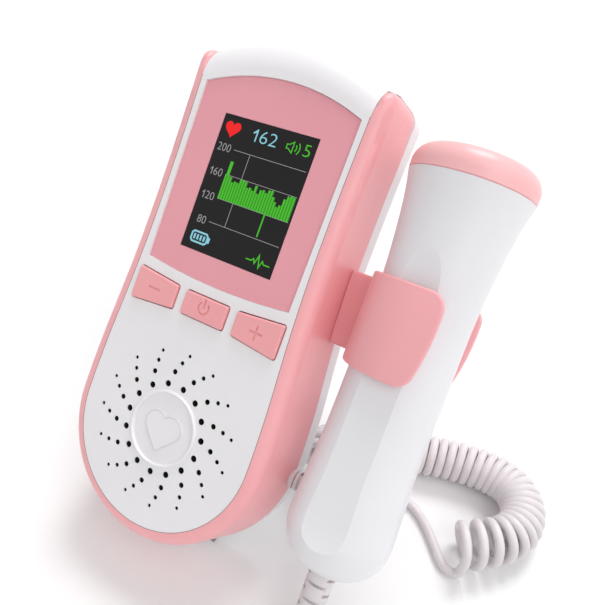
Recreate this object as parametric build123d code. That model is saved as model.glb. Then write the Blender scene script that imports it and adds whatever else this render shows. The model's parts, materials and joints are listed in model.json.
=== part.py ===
"""Fetal doppler monitor: a hand unit leaning on its kickstand, a clip-on probe and a curly cord.

Lengths are in millimetres.  The hand unit and the probe are drawn in the hand unit's own
frame: x to the right across the face, y up along the face, z out of the face, with the
origin at the centre of the ring on the speaker grille.  `lean_back` stands each piece on the
surface z=0, and the last step centres the whole object on the origin.
"""
from build123d import *
from math import asin, atan, atan2, cos, degrees, hypot, pi, radians, sin, sqrt, tan
import os

os.makedirs("parts", exist_ok=True)

# ---------------------------------------------------------------- driving dimensions
LEAN = 41.4            # degrees that the hand unit leans back from upright
FIT = 0.05             # clearance of fixed pieces that slip into each other
SHELL_GAP = 0.3        # clearance round every moving piece

# hand unit, seen on its face
FOOT_R = 29.5          # radius of the face's round lower end
WAIST_HALF = 27.0      # half the face's width at its waist
WAIST_Y = 66.0
HIP_Y = 26.4           # height where the sides change from bulging to hollow
CHEST_R = 1090.0       # radius of the hollow sides above the waist
TOP_Y = 117.0          # top of the arch, from which everything in the upper half is placed
ARCH_R = 75.0          # radius of the arched top
CORNER_R = 5.5
BEAD_R = 4.3           # rounding of the side band's front edge, which starts at the face's edge
BULGE = 5.4            # how far the side band stands out from the face's edge at the parting plane
FLARE = 1.2            # how much further it stands out there round the lower end

# hand unit, through its depth
BODY_T = 28.7
SEAM_Z = -19.8         # parting plane between the front and back shells
BACK_R = 3.0           # rounding of the back edge
CAP_R = 10.0           # rounding of the arched top
CAP_WALL_R = 6.0       # how far the cavity's arch lies inside the outer arch
WALL = 2.2
FACE_T = 3.0
TIP_DROP = 7.0         # how far the tops of the side band's arms lie below the arch
TIP_R = 6.0            # rounding of the arms' tops towards the face

# display
SCREEN_W = 31.7
SCREEN_SHARE = 0.7486  # share of the bezel's height that the screen takes up
SCREEN_LOW = 0.65      # how far the screen's middle lies below the bezel's
BEZEL_T, BEZEL_RECESS = 1.2, 0.7
BEZEL_LOW_SIDE, BEZEL_HIGH_SIDE = 2.2, 1.5      # from its sides to the face's edge at the waist
BEZEL_OVER_BUTTONS, BEZEL_TOP_DROP = 5.1, 17.4
BEZEL_LOW_DROP, BEZEL_HIGH_RISE = 1.7, 5.3
GLASS_RECESS = 0.15    # how deep the screen's window lies below the bezel
LCD_MARGIN, LCD_T = 2.2, 3.0

# buttons
BUTTON_LOW_Y, BUTTON_HIGH_Y = 33.4, 40.4
BUTTON_MID_HALF = 7.4
BUTTON_NEAR_X, BUTTON_SIDE = 10.6, 1.4
BUTTON_SPREAD = 1.5    # how much taller the outer buttons are at each end of their outer side
BUTTON_R, BUTTON_EDGE_R = 0.6, 0.5
BUTTON_PROUD, BUTTON_TRAVEL = 1.0, 0.6
BUTTON_LIP, BUTTON_LIP_T, BUTTON_STEM_R = 0.6, 1.0, 2.0
SYMBOL_DEPTH, SYMBOL_LINE, SYMBOL_LONG = 0.3, 0.5, 4.1
POWER_R, POWER_GAP, POWER_RISE = 1.75, 40.0, 0.4

# speaker grille: for each circle of holes its radius, first angle and hole radius
ARMS, ARM_STEP = 15, 24.0
HOLE_CIRCLES = ((13.2, 14.95, 0.95), (16.95, 8.54, 0.80), (20.0, 3.30, 0.65), (22.75, -1.21, 0.53))
RING_R, RING_W, RING_H = 10.8, 1.1, 0.8
HEART_LOBE_R, HEART_H, HEART_Y = 3.8, 0.45, -1.9
CLOTH_SIDE, CLOTH_T = 8.6, 0.4      # from the cloth's edge to the face's edge
CLOTH_EDGE = 0.9                    # how far the cloth reaches past the speaker
SPEAKER_T, SPEAKER_STEEL, SPEAKER_FLANGE = 5.0, 0.8, 3.5
MAGNET_R, MAGNET_T = 9.0, 4.5
CONE_NECK_R, CONE_T, CONE_DEPTH = 5.0, 0.5, 2.2

# circuit board
BOARD_SIDE, BOARD_T = 6.0, 1.6
BOARD_LOW_Y, BOARD_TOP_DROP, BOARD_CHAMFER = 26.5, 16.7, 4.0
POST_LOW_IN, POST_LOW_UP, POST_HIGH_IN, POST_HIGH_DOWN = 2.5, 3.0, 3.3, 3.3
BOARD_POST_R, BOARD_SCREW_R, BOARD_HEAD_R, BOARD_HEAD_T = 2.0, 0.9, 1.7, 0.8
SWITCH_SIZE, SWITCH_T, SWITCH_DOME_R = 5.0, 0.9, 1.6

# batteries
CELL_R, CELL_L, CELL_TOP_DROP = 7.0, 50.5, 13.0
CELL_NUB_R, CELL_NUB_L = 2.75, 1.0
CELL_GAP = 0.3
BAY_WALL, BAY_END = 1.2, 2.2
CONTACT_T, CONTACT_R = 0.4, 2.5
COVER_LOW_IN, COVER_HIGH_IN, COVER_HALF, COVER_R = 2.0, 1.0, 15.0, 3.0
GRIP_LINES, GRIP_STEP, GRIP_DEPTH = 5, 2.2, 0.4

# kickstand
STAND_HALF, STAND_T = 13.0, 3.4
PIN_R, PIN_FIT, BARREL_R = 1.2, 0.05, 2.2
HINGE_DROP = 10.0      # from the foot of the batteries down to the stand's pin
FOOT_BACK = 63.0       # distance behind the ring's centre where the stand meets the surface
FOOT_L = 6.0           # length of the rubber tip
POCKET_WALL = 1.7

# feet
PAD_DROP = 0.6         # how far the pads hold the shells above the surface
PAD_INNER, PAD_OUTER, PAD_LENGTH, PAD_H = 7.0, 16.0, 5.0, 5.0

# screws that hold the shells together
CASE_HIGH_SIDE, CASE_HIGH_DROP = 6.2, 15.5
CASE_LOW_ANGLE, CASE_LOW_GAP = 31.25, 0.2
CASE_POST_R, CASE_SCREW_R, CASE_SCREW_L = 3.0, 1.25, 13.0
CASE_HEAD_R, CASE_HEAD_T = 2.2, 1.5

# probe
PROBE_BESIDE, PROBE_Z, PROBE_WALL = 6.2, -12.5, 2.0
PROBE_END_Y, PROBE_END_R = -16.6, 9.5
PROBE_PROFILE = ((15.0, -5.0), (14.4, 7.0), (13.8, 20.0), (13.6, 38.0), (13.65, 62.0),
                 (14.6, 76.0), (15.8, 86.0), (17.2, 92.8))
CAP_TOP_Y, CAP_CROWN, CAP_EDGE_R, CAP_FLARE, CAP_WALL = 101.4, 1.0, 5.5, 0.3, 2.4
SPIGOT_L, SPIGOT_R, SPIGOT_WALL = 3.0, 14.1, 1.5
SEAM_GROOVE = 0.35     # chamfer on the cap's edge that shows as a line round the seam
FACET_TURN = 4.0       # degrees that the flat panel is turned towards the hand unit
FACET_SINK = ((-11.5, -0.6), (-6.0, 0.9), (7.0, 1.15), (20.0, 1.1), (38.0, 1.1), (62.0, 1.1),
              (70.0, 0.7), (77.0, -0.6))    # how deep it lies below the handle, up its length
PIEZO_R, PIEZO_T, PIEZO_GAP = 11.0, 1.6, 1.0
BACKING_R, BACKING_T = 12.0, 6.0
PROBE_BOARD_T = 1.6
PROBE_BOARD_LOW_Y, PROBE_BOARD_HIGH_Y = 14.0, 72.0

# clip
CLIP_WALL, CLIP_LOW_Y, CLIP_HIGH_Y = 2.0, 38.8, 64.3
FRONT_JAW, REAR_JAW = 7.6, 13.0     # how far each jaw reaches past the probe's axis
JAW_SKEW, JAW_BOW, JAW_CORNER = 2.0, 1.2, 4.6
STEM_LOW_Y, STEM_HIGH_Y, STEM_LOW_Z, STEM_HIGH_Z = 40.4, 62.3, -19.8, -15.3
CLIP_SCREW_R, CLIP_SCREW_BITE, CLIP_SCREW_IN = 1.25, 4.5, 5.0
CLIP_HEAD_R, CLIP_HEAD_T, CLIP_BOSS_R, CLIP_BOSS_H = 2.1, 1.4, 2.2, 0.5

# earphone socket
JACK_R, JACK_DEPTH, JACK_WALL, JACK_L = 1.8, 11.0, 1.3, 12.5
JACK_Y, JACK_Z, JACK_SEAT = 12.0, -12.5, 0.35

# cord fittings
BOOT_Y = -2.0
BOOT_R, BOOT_TIP_R, BOOT_CORE_R = 3.0, 2.4, 1.9
BOOT_FLANGE_R, BOOT_FLANGE_T, BOOT_FLANGE_IN = 3.7, 1.4, 3.3
BOOT_OUT, BOOT_BEND_R, BOOT_BEND, BOOT_RIBS, BOOT_RIB_T = 1.0, 5.5, 80.0, 5, 1.0
RELIEF_R, RELIEF_TIP_R, RELIEF_L, RELIEF_FLANGE_R, RELIEF_FLANGE_T = 4.2, 3.6, 14.5, 5.4, 1.6
RELIEF_SLOTS, RELIEF_SLOT_W, RELIEF_SLOT_DEPTH = 5, 0.9, 1.0

# cord: route points as (x, y, z), x from the probe's axis and y from the ring's centre, on the
# surface
CORD_R = 1.5
COIL_R = 7.0
LEAD_STEP = 5.3        # first and last runs of the lead beside the hand unit
TAIL_DROP = 12.5       # first run of the tail, from the strain relief down to the surface
TAIL_STEP = 5.6        # last run of the tail, out of the coil's end
TAIL_SIDE, TAIL_LOW = 3.0, 4.4      # where the tail leaves the coil's end, from its centre
COIL_ROUTE = ((-18.5, 29.5, 19.0), (-23.7, 35.2, 15.2), (-23.5, 43.0, 10.6), (-16.1, 49.4, 7.4),
              (-4.6, 54.6, 7.0), (6.9, 58.6, 7.0), (18.4, 61.8, 7.0), (28.9, 62.4, 7.0),
              (36.7, 59.6, 7.0), (41.1, 53.2, 7.0), (40.7, 45.6, 7.0), (35.9, 38.9, 7.0),
              (30.2, 33.3, 7.0))
TAIL_ROUTE = ((1.0, -27.2, 1.5), (7.4, -36.4, 1.5), (9.8, -47.4, 1.5), (4.3, -57.2, 1.5),
              (-6.5, -59.7, 1.5), (-15.7, -53.9, 1.5), (-18.1, -43.1, 1.5), (-13.7, -32.3, 1.5),
              (-7.0, -22.6, 1.5), (-2.9, -11.4, 1.5), (-1.6, 0.3, 1.5), (-3.6, 10.8, 1.5),
              (-7.6, 19.8, 1.5), (-11.6, 28.6, 1.5), (-8.8, 37.6, 1.5), (-0.8, 42.6, 1.5),
              (9.2, 41.4, 1.5), (17.0, 35.4, 1.5), (23.3, 29.8, 1.5))

# ---------------------------------------------------------------- worked out from them
ARCH_Y = TOP_Y - ARCH_R
TIP_Y = TOP_Y - TIP_DROP
BEZEL_LOW_HALF, BEZEL_HIGH_HALF = WAIST_HALF - BEZEL_LOW_SIDE, WAIST_HALF - BEZEL_HIGH_SIDE
BEZEL_LOW_Y, BEZEL_HIGH_Y = BUTTON_HIGH_Y + BEZEL_OVER_BUTTONS, TOP_Y - BEZEL_TOP_DROP
SCREEN_H = SCREEN_SHARE * (BEZEL_HIGH_Y - BEZEL_LOW_Y)
SCREEN_Y = (BEZEL_LOW_Y + BEZEL_HIGH_Y) / 2 - SCREEN_LOW
BUTTON_FAR_X = WAIST_HALF - BUTTON_SIDE
CLOTH_R = FOOT_R - CLOTH_SIDE
SPEAKER_R = CLOTH_R - CLOTH_EDGE
CONE_R = SPEAKER_R - SPEAKER_FLANGE
BOARD_HALF, BOARD_HIGH_Y = WAIST_HALF - BOARD_SIDE, TOP_Y - BOARD_TOP_DROP
BOARD_POSTS = ((BOARD_HALF - POST_LOW_IN, BOARD_LOW_Y + POST_LOW_UP),
               (BOARD_HALF - POST_HIGH_IN, BOARD_HIGH_Y - POST_HIGH_DOWN))
CELL_LOW_Y = TOP_Y - CELL_TOP_DROP - CELL_L
COVER_LOW_Y, COVER_HIGH_Y = CELL_LOW_Y + COVER_LOW_IN, CELL_LOW_Y + CELL_L - COVER_HIGH_IN
HINGE_Y = CELL_LOW_Y - HINGE_DROP
CASE_LOW_R = FOOT_R - WALL - CASE_POST_R - CASE_LOW_GAP
CASE_SPOTS = ((WAIST_HALF - CASE_HIGH_SIDE, TOP_Y - CASE_HIGH_DROP),
              (CASE_LOW_R * cos(radians(CASE_LOW_ANGLE)), -CASE_LOW_R * sin(radians(CASE_LOW_ANGLE))))
FOOT_OUT = FOOT_R + FLARE + BULGE
PROBE_X = FOOT_R + BULGE + PROBE_BESIDE + PROBE_PROFILE[0][0]
BOOT_FLANGE_X = FOOT_R - BOOT_FLANGE_IN
PROBE_HALF = PROBE_PROFILE[4][0]
CLIP_IN_R = PROBE_HALF + SHELL_GAP
CLIP_OUT_R = CLIP_IN_R + CLIP_WALL
SEAM_Y = PROBE_PROFILE[-1][1]
CAP_R_OUT = PROBE_PROFILE[-1][0]
PROBE_BOARD_HALF = PROBE_PROFILE[3][0] - PROBE_WALL - SHELL_GAP
BOARD_Z = -FACE_T - LCD_T
CELL_Z = -(BODY_T - WALL) + CELL_GAP + CELL_R
BAY_HALF = 2 * CELL_R + 1.5 * CELL_GAP
BAY_FLOOR_Z = CELL_Z + CELL_R + CELL_GAP
CELL_X = CELL_R + CELL_GAP / 2
HINGE_Z = BARREL_R - BODY_T
POCKET_Z = HINGE_Z + BARREL_R + SHELL_GAP
BODY_LOW_Y = BACK_R - FOOT_OUT
BODY_LOW_Z = -(BODY_T - BACK_R)
SIN, COS = sin(radians(LEAN)), cos(radians(LEAN))
FLOOR_DROP = PAD_DROP + BACK_R - (BODY_LOW_Y * COS + BODY_LOW_Z * SIN)


def on_surface(y, z):
    """Distance back and height above the surface of a point (y, z) of the hand unit."""
    return y * SIN - z * COS, y * COS + z * SIN + FLOOR_DROP


HINGE_BACK, HINGE_UP = on_surface(HINGE_Y, HINGE_Z)
STAND_L = hypot(FOOT_BACK - HINGE_BACK, HINGE_UP)
STAND_OPEN = LEAN + degrees(atan2(FOOT_BACK - HINGE_BACK, HINGE_UP))
POCKET_LOW_Y = HINGE_Y - STAND_L - STAND_T / 2
POCKET_HIGH_Y = HINGE_Y + BARREL_R + SHELL_GAP
POCKET_HALF = STAND_HALF + SHELL_GAP
HOLE_FROM_X, CLIP_HOLE_FROM_X = FOOT_R - 4 * WALL, WAIST_HALF - 3 * WALL
CLIP_SEAT_X = WAIST_HALF - WALL - CLIP_BOSS_H


# ---------------------------------------------------------------- small helpers
def plate(face, low, high):
    """A flat outline given depth, from z=low to z=high."""
    return Pos(0, 0, low) * extrude(face, high - low)


def block(x, y, z):
    """A box from three (low, high) pairs."""
    return Pos(x[0], y[0], z[0]) * Box(x[1] - x[0], y[1] - y[0], z[1] - z[0],
                                       align=(Align.MIN, Align.MIN, Align.MIN))


def rod(start, end, radius):
    """A round rod between two points."""
    axis = Vector(*end) - Vector(*start)
    return Plane(origin=start, z_dir=axis) * Cylinder(
        radius, axis.length, align=(Align.CENTER, Align.CENTER, Align.MIN))


def both_sides(shape):
    """A piece and its mirror image across the middle of the face."""
    return shape + mirror(shape, about=Plane.YZ)


def upper_meet(center_a, radius_a, center_b, radius_b):
    """The upper of the two points where two circles cross."""
    dx, dy = center_b[0] - center_a[0], center_b[1] - center_a[1]
    apart = hypot(dx, dy)
    along = (radius_a**2 - radius_b**2 + apart**2) / (2 * apart)
    across = sqrt(radius_a**2 - along**2)
    foot = (center_a[0] + along * dx / apart, center_a[1] + along * dy / apart)
    points = [(foot[0] - k * across * dy / apart, foot[1] + k * across * dx / apart)
              for k in (-1, 1)]
    return max(points, key=lambda point: point[1])


def arc(center, radius, start, end, side=1):
    """An arc about a centre between two angles in degrees; side -1 mirrors it across x=0."""
    def at(angle):
        return (side * (center[0] + radius * cos(radians(angle))),
                center[1] + radius * sin(radians(angle)))
    return ThreePointArc(at(start), at((start + end) / 2), at(end))


def outline(grow, arch_r, corner=0.0, flare=0.0):
    """The face's outline, grown outwards at its sides, under an arch of the given radius."""
    foot_r = FOOT_R + flare
    lean = 2 * degrees(atan((foot_r - WAIST_HALF) / WAIST_Y))
    hip_r = HIP_Y / sin(radians(lean))
    waist_r = (WAIST_Y - HIP_Y) / sin(radians(lean))
    chest = (WAIST_HALF + CHEST_R, WAIST_Y)
    top = upper_meet(chest, CHEST_R - grow, (0, ARCH_Y), arch_r)
    rise = degrees(asin((top[1] - WAIST_Y) / (CHEST_R - grow)))
    edges = [ThreePointArc(top, (0, ARCH_Y + arch_r), (-top[0], top[1]))]
    for side in (1, -1):
        edges += [
            arc((0, 0), foot_r + grow, -90, 0, side),
            arc((foot_r - hip_r, 0), hip_r + grow, 0, lean, side),
            arc((WAIST_HALF + waist_r, WAIST_Y), waist_r - grow, 180 + lean, 180, side),
            arc(chest, CHEST_R - grow, 180, 180 - rise, side),
        ]
    face = make_face(edges)
    if corner:
        tips = [v for v in face.vertices() if hypot(abs(v.X) - top[0], v.Y - top[1]) < FIT]
        face = fillet(tips, corner)
    return face


# ---------------------------------------------------------------- hand unit's shells
def plain_body():
    """The hand unit as one block that widens to its parting plane, with rounded edges."""
    widest = outline(BULGE, ARCH_R, CORNER_R, FLARE)
    back = plate(widest, -BODY_T, SEAM_Z)
    back = fillet(back.faces().sort_by(Axis.Z)[0].edges(), BACK_R)
    narrow = outline(BEAD_R, ARCH_R, CORNER_R)
    front = plate(narrow, -BEAD_R, 0)
    front = fillet(front.faces().sort_by(Axis.Z)[-1].edges(), BEAD_R - FIT)
    middle = loft([Pos(0, 0, SEAM_Z) * widest, Pos(0, 0, -BEAD_R) * narrow], ruled=True)
    return back + middle + front


def capped_body(body):
    """The block with the broad rounding of its arched top."""
    inner, outer = ARCH_R - CAP_R, ARCH_R + CAP_R
    profile = make_face([
        arc((inner, -CAP_R), CAP_R, 0, 90), Line((inner, 0), (inner, WALL)),
        Line((inner, WALL), (outer, WALL)), Line((outer, WALL), (outer, -CAP_R)),
        Line((outer, -CAP_R), (ARCH_R, -CAP_R))])
    ring = Pos(0, ARCH_Y, 0) * revolve(Plane.XZ * profile, Axis.Z)
    upper = block((-outer, outer), (ARCH_Y, ARCH_Y + outer), (-BODY_T, WALL))
    return body - (ring & upper)


def arm_zone():
    """All the room beside the face that the side band fills, with its rounded arm tips."""
    reach = 2 * FOOT_R
    bar = block((-reach, reach), (-reach, TIP_Y), (SEAM_Z, 0))
    tip = bar.edges().filter_by(Axis.X).group_by(Axis.Y)[-1].sort_by(Axis.Z)[-1]
    return fillet(tip, TIP_R) - plate(outline(0, ARCH_R), SEAM_Z - WALL, WALL)


def grille_holes():
    """The swirling arms of round holes over the speaker."""
    holes = []
    for radius, phase, hole_r in HOLE_CIRCLES:
        for arm in range(ARMS):
            angle = radians(phase - arm * ARM_STEP)
            spot = (-radius * sin(angle), radius * cos(angle))
            holes.append(Pos(*spot, -FACE_T / 2) * Cylinder(hole_r, 2 * FACE_T))
    return holes


def heart(lobe_r):
    """A plain heart outline: a square on its corner with a half circle on two sides."""
    corner = lobe_r * sqrt(2)
    square = Rot(0, 0, 45) * Rectangle(2 * lobe_r, 2 * lobe_r)
    lobes = [Pos(side * corner / 2, corner / 2) * Circle(lobe_r) for side in (1, -1)]
    return square + lobes


def bezel_outline(grow=0.0):
    """The display bezel: bowed at its top and bottom, a little wider at its top."""
    low, high = BEZEL_LOW_HALF + grow, BEZEL_HIGH_HALF + grow
    low_y, high_y = BEZEL_LOW_Y - grow, BEZEL_HIGH_Y + grow
    return make_face([
        ThreePointArc((-low, low_y), (0, low_y - BEZEL_LOW_DROP), (low, low_y)),
        Line((low, low_y), (high, high_y)),
        ThreePointArc((high, high_y), (0, high_y + BEZEL_HIGH_RISE), (-high, high_y)),
        Line((-high, high_y), (-low, low_y))])


def button_outline(which, grow=0.0):
    """A button's outline; which is -1, 0 or 1 from left to right."""
    low, high = BUTTON_LOW_Y - grow, BUTTON_HIGH_Y + grow
    near, far, mid = BUTTON_NEAR_X - grow, BUTTON_FAR_X + grow, BUTTON_MID_HALF + grow
    if which == 0:
        corners = [(-mid, low), (mid, low), (mid, high), (-mid, high)]
    else:
        corners = [(which * near, low), (which * far, low - BUTTON_SPREAD),
                   (which * far, high + BUTTON_SPREAD), (which * near, high)]
    face = make_face(Polyline(*corners, close=True))
    return fillet(face.vertices(), BUTTON_R + grow)


def case_spots():
    """The places of the four screws that hold the shells together."""
    return [(side * x, y) for x, y in CASE_SPOTS for side in (1, -1)]


def board_spots():
    """The places of the four screws that hold the circuit board."""
    return [(side * x, y) for x, y in BOARD_POSTS for side in (1, -1)]


def clip_screw_spots():
    """The heights and depth of the two screws that hold the clip."""
    z = (STEM_LOW_Z + STEM_HIGH_Z) / 2
    return [(STEM_LOW_Y + CLIP_SCREW_IN, z), (STEM_HIGH_Y - CLIP_SCREW_IN, z)]


def side_holes():
    """What passes through the hand unit's sides: cord boot, earphone socket, clip screws."""
    out = FOOT_R + 2 * BULGE
    cuts = [rod((HOLE_FROM_X, BOOT_Y, SEAM_Z), (out, BOOT_Y, SEAM_Z), BOOT_R),
            rod((-HOLE_FROM_X, JACK_Y, JACK_Z), (-out, JACK_Y, JACK_Z), JACK_R + JACK_WALL)]
    cuts += [rod((CLIP_HOLE_FROM_X, y, z), (out, y, z), CLIP_SCREW_R)
             for y, z in clip_screw_spots()]
    return cuts


def front_shell(body):
    """The white face with its side walls, posts, grille, ring, heart and arched top."""
    keep = block((-2 * FOOT_R, 2 * FOOT_R), (-2 * FOOT_R, 2 * ARCH_R), (SEAM_Z, WALL))
    shell = (capped_body(body) & keep) - arm_zone()
    shell -= plate(outline(-WALL, ARCH_R - CAP_WALL_R), SEAM_Z, -FACE_T)
    for x, y in case_spots():
        shell += rod((x, y, SEAM_Z), (x, y, -FACE_T), CASE_POST_R)
    for x, y in board_spots():
        shell += rod((x, y, BOARD_Z), (x, y, -FACE_T), BOARD_POST_R)
    for y, z in clip_screw_spots():
        shell += rod((CLIP_SEAT_X, y, z), (WAIST_HALF, y, z), CLIP_BOSS_R)
    shell -= plate(bezel_outline(FIT), -BEZEL_RECESS - BEZEL_T, WALL)
    shell -= Pos(0, SCREEN_Y, 0) * Box(SCREEN_W, SCREEN_H, 4 * FACE_T)
    shell -= [plate(button_outline(which, SHELL_GAP), -2 * FACE_T, WALL) for which in (-1, 0, 1)]
    shell -= grille_holes()
    ring = Pos(RING_R, 0) * Ellipse(RING_W / 2, RING_H)
    shell += revolve(Plane.XZ * ring, Axis.Z)
    shell += Pos(0, HEART_Y) * plate(heart(HEART_LOBE_R), -WALL, HEART_H)
    bite = CASE_SCREW_L - (BODY_T + SEAM_Z - WALL)
    for x, y in case_spots():
        shell -= rod((x, y, SEAM_Z - FIT), (x, y, SEAM_Z + bite), CASE_SCREW_R)
    for x, y in board_spots():
        shell -= rod((x, y, BOARD_Z - FIT), (x, y, -FACE_T), BOARD_SCREW_R)
    return shell - side_holes()


def side_band(body):
    """The pink bumper that wraps the sides and the round lower end."""
    return (body & arm_zone()) - side_holes()


def back_shell(body):
    """The white back with its battery bay, kickstand pocket and screw columns."""
    keep = block((-2 * FOOT_R, 2 * FOOT_R), (-2 * FOOT_R, 2 * ARCH_R), (-2 * BODY_T, SEAM_Z))
    shell = capped_body(body) & keep
    ledge_z = SEAM_Z - WALL + SHELL_GAP
    inside_z = WALL - BODY_T
    shell -= plate(outline(-WALL, ARCH_R - CAP_WALL_R), ledge_z, SEAM_Z)
    inside = outline(BULGE - WALL, ARCH_R - WALL - FACE_T, CORNER_R / 2, FLARE)
    shell -= plate(inside, inside_z, ledge_z)
    for x, y in case_spots():
        shell += rod((x, y, inside_z), (x, y, SEAM_Z), CASE_POST_R)
    rim = POCKET_HALF + POCKET_WALL
    shell += block((-rim, rim), (POCKET_LOW_Y - POCKET_WALL, POCKET_HIGH_Y + POCKET_WALL),
                   (inside_z, POCKET_Z + POCKET_WALL))
    low, high = CELL_LOW_Y - BAY_END, CELL_LOW_Y + CELL_L + BAY_END
    bay = BAY_HALF + BAY_WALL
    shell += block((-bay, bay), (low - BAY_WALL, high + BAY_WALL),
                   (inside_z, BAY_FLOOR_Z + BAY_WALL))
    shell -= block((-BAY_HALF, BAY_HALF), (low, high), (inside_z, BAY_FLOOR_Z))
    shell -= block((-POCKET_HALF, POCKET_HALF), (POCKET_LOW_Y, POCKET_HIGH_Y), (-BODY_T, POCKET_Z))
    shell -= rod((-rim, HINGE_Y, HINGE_Z), (rim, HINGE_Y, HINGE_Z), PIN_R)
    shell -= plate(cover_outline(SHELL_GAP), -BODY_T, inside_z)
    for x, y in case_spots():
        shell -= rod((x, y, -BODY_T), (x, y, SEAM_Z), CASE_SCREW_R)
        shell -= rod((x, y, -BODY_T), (x, y, inside_z), CASE_HEAD_R + FIT)
    return shell - side_holes()


def cover_outline(grow=0.0):
    """The battery cover's rounded rectangle."""
    height = COVER_HIGH_Y - COVER_LOW_Y
    return Pos(0, (COVER_HIGH_Y + COVER_LOW_Y) / 2) * RectangleRounded(
        2 * (COVER_HALF + grow), height + 2 * grow, COVER_R + grow)


def battery_cover():
    """The lift-off cover over the batteries, with a ribbed thumb grip."""
    cover = plate(cover_outline(), -BODY_T, WALL - BODY_T)
    for line in range(GRIP_LINES):
        y = COVER_LOW_Y + COVER_R + (line + 1) * GRIP_STEP
        cover -= Pos(0, y, -BODY_T) * Box(COVER_HALF, GRIP_STEP / 2, 2 * GRIP_DEPTH)
    return cover


# ---------------------------------------------------------------- inside the hand unit
def display_bezel():
    """The pink plate round the screen."""
    sheet = plate(bezel_outline(), -BEZEL_RECESS - BEZEL_T, -BEZEL_RECESS)
    return sheet - Pos(0, SCREEN_Y, 0) * Box(SCREEN_W, SCREEN_H, 4 * FACE_T)


def screen_glass():
    """The clear window of the screen, resting on the display module."""
    return plate(Pos(0, SCREEN_Y) * Rectangle(SCREEN_W - 2 * FIT, SCREEN_H - 2 * FIT),
                 -FACE_T, -BEZEL_RECESS - GLASS_RECESS)


def lcd_module():
    """The display module between the window and the circuit board."""
    return plate(Pos(0, SCREEN_Y) * Rectangle(SCREEN_W + 2 * LCD_MARGIN, SCREEN_H + 2 * LCD_MARGIN),
                 BOARD_Z, -FACE_T)


def main_board():
    """The circuit board, with its upper corners cut off to clear the screw posts."""
    face = Pos(0, (BOARD_LOW_Y + BOARD_HIGH_Y) / 2) * Rectangle(
        2 * BOARD_HALF, BOARD_HIGH_Y - BOARD_LOW_Y)
    face = chamfer(face.vertices().group_by(Axis.Y)[-1], BOARD_CHAMFER)
    board = plate(face, BOARD_Z - BOARD_T, BOARD_Z)
    return board - [rod((x, y, BOARD_Z - BOARD_T), (x, y, BOARD_Z), BOARD_SCREW_R)
                    for x, y in board_spots()]


def board_screws():
    """The four small screws that hold the circuit board to its posts."""
    back = BOARD_Z - BOARD_T
    tip = (BOARD_Z - FACE_T) / 2
    return Compound(children=[
        rod((x, y, back), (x, y, tip), BOARD_SCREW_R)
        + rod((x, y, back - BOARD_HEAD_T), (x, y, back), BOARD_HEAD_R) for x, y in board_spots()])


def button_middle(which):
    """The middle of a button across the face."""
    return which * (BUTTON_NEAR_X + BUTTON_FAR_X) / 2, (BUTTON_LOW_Y + BUTTON_HIGH_Y) / 2


def tact_switches():
    """The three low switches under the buttons."""
    switches = []
    for which in (-1, 0, 1):
        x, y = button_middle(which)
        base = Pos(x, y, BOARD_Z + SWITCH_T / 4) * Box(SWITCH_SIZE, SWITCH_SIZE, SWITCH_T / 2)
        dome = rod((x, y, BOARD_Z), (x, y, BOARD_Z + SWITCH_T), SWITCH_DOME_R)
        switches.append(base + dome)
    return Compound(children=switches)


def power_mark():
    """The power sign: an open ring with an upright bar in its gap."""
    ring = Circle(POWER_R + SYMBOL_LINE / 2) - Circle(POWER_R - SYMBOL_LINE / 2)
    reach = 2 * POWER_R
    gap = make_face(Polyline((0, 0), (-reach * tan(radians(POWER_GAP)), reach),
                             (reach * tan(radians(POWER_GAP)), reach), close=True))
    sign = (ring - gap) + Pos(0, POWER_R * 0.75) * Rectangle(SYMBOL_LINE, POWER_R * 1.5)
    return Pos(0, POWER_RISE) * sign


def button(which):
    """A button: its cap, the lip that keeps it in, the stem over its switch and its sign."""
    x, y = button_middle(which)
    lip_top = -FACE_T - FIT
    stem_z = BOARD_Z + SWITCH_T + BUTTON_TRAVEL + 2 * FIT
    cap = plate(button_outline(which), lip_top, BUTTON_PROUD)
    top = cap.faces().sort_by(Axis.Z)[-1]
    cap = fillet(top.edges(), BUTTON_EDGE_R)
    lip = plate(button_outline(which, BUTTON_LIP), lip_top - BUTTON_LIP_T, lip_top)
    cap += lip & plate(outline(-WALL - SHELL_GAP, ARCH_R), lip_top - BUTTON_LIP_T, lip_top)
    cap += rod((x, y, stem_z), (x, y, lip_top), BUTTON_STEM_R)
    bar = Rectangle(SYMBOL_LONG, SYMBOL_LINE)
    marks = {-1: bar, 0: power_mark(), 1: bar + Rectangle(SYMBOL_LINE, SYMBOL_LONG)}
    return cap - Pos(x, y) * plate(marks[which], BUTTON_PROUD - SYMBOL_DEPTH, 2 * BUTTON_PROUD)


def grille_cloth():
    """The dust cloth between the grille and the speaker."""
    return rod((0, 0, -FACE_T - CLOTH_T), (0, 0, -FACE_T), CLOTH_R)


def turned(points):
    """A solid turned about the z axis from its half profile of (radius, z) points."""
    return revolve(Plane.XZ * make_face(Polyline(*points, close=True)), Axis.Z)


def speaker_frame():
    """The speaker's steel basket: a flange, a sloping wall and a flat bottom."""
    top = -FACE_T - CLOTH_T
    low = top - SPEAKER_T
    steel = SPEAKER_STEEL
    neck = MAGNET_R + steel
    return turned([(SPEAKER_R, top), (SPEAKER_R, top - steel), (CONE_R + steel, top - steel),
                   (neck, low), (0, low), (0, low + steel), (neck - steel, low + steel),
                   (CONE_R, top - 2 * steel), (CONE_R, top)])


def speaker_cone():
    """The paper cone with its dust cap, glued inside the flange."""
    top = -FACE_T - CLOTH_T - SHELL_GAP
    neck_z = top - CONE_DEPTH
    rim = CONE_R - FIT
    return turned([(rim, top), (rim, top - CONE_T), (CONE_NECK_R, neck_z - CONE_T),
                   (0, neck_z - CONE_T), (0, neck_z + CONE_T), (CONE_NECK_R, neck_z)])


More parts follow.
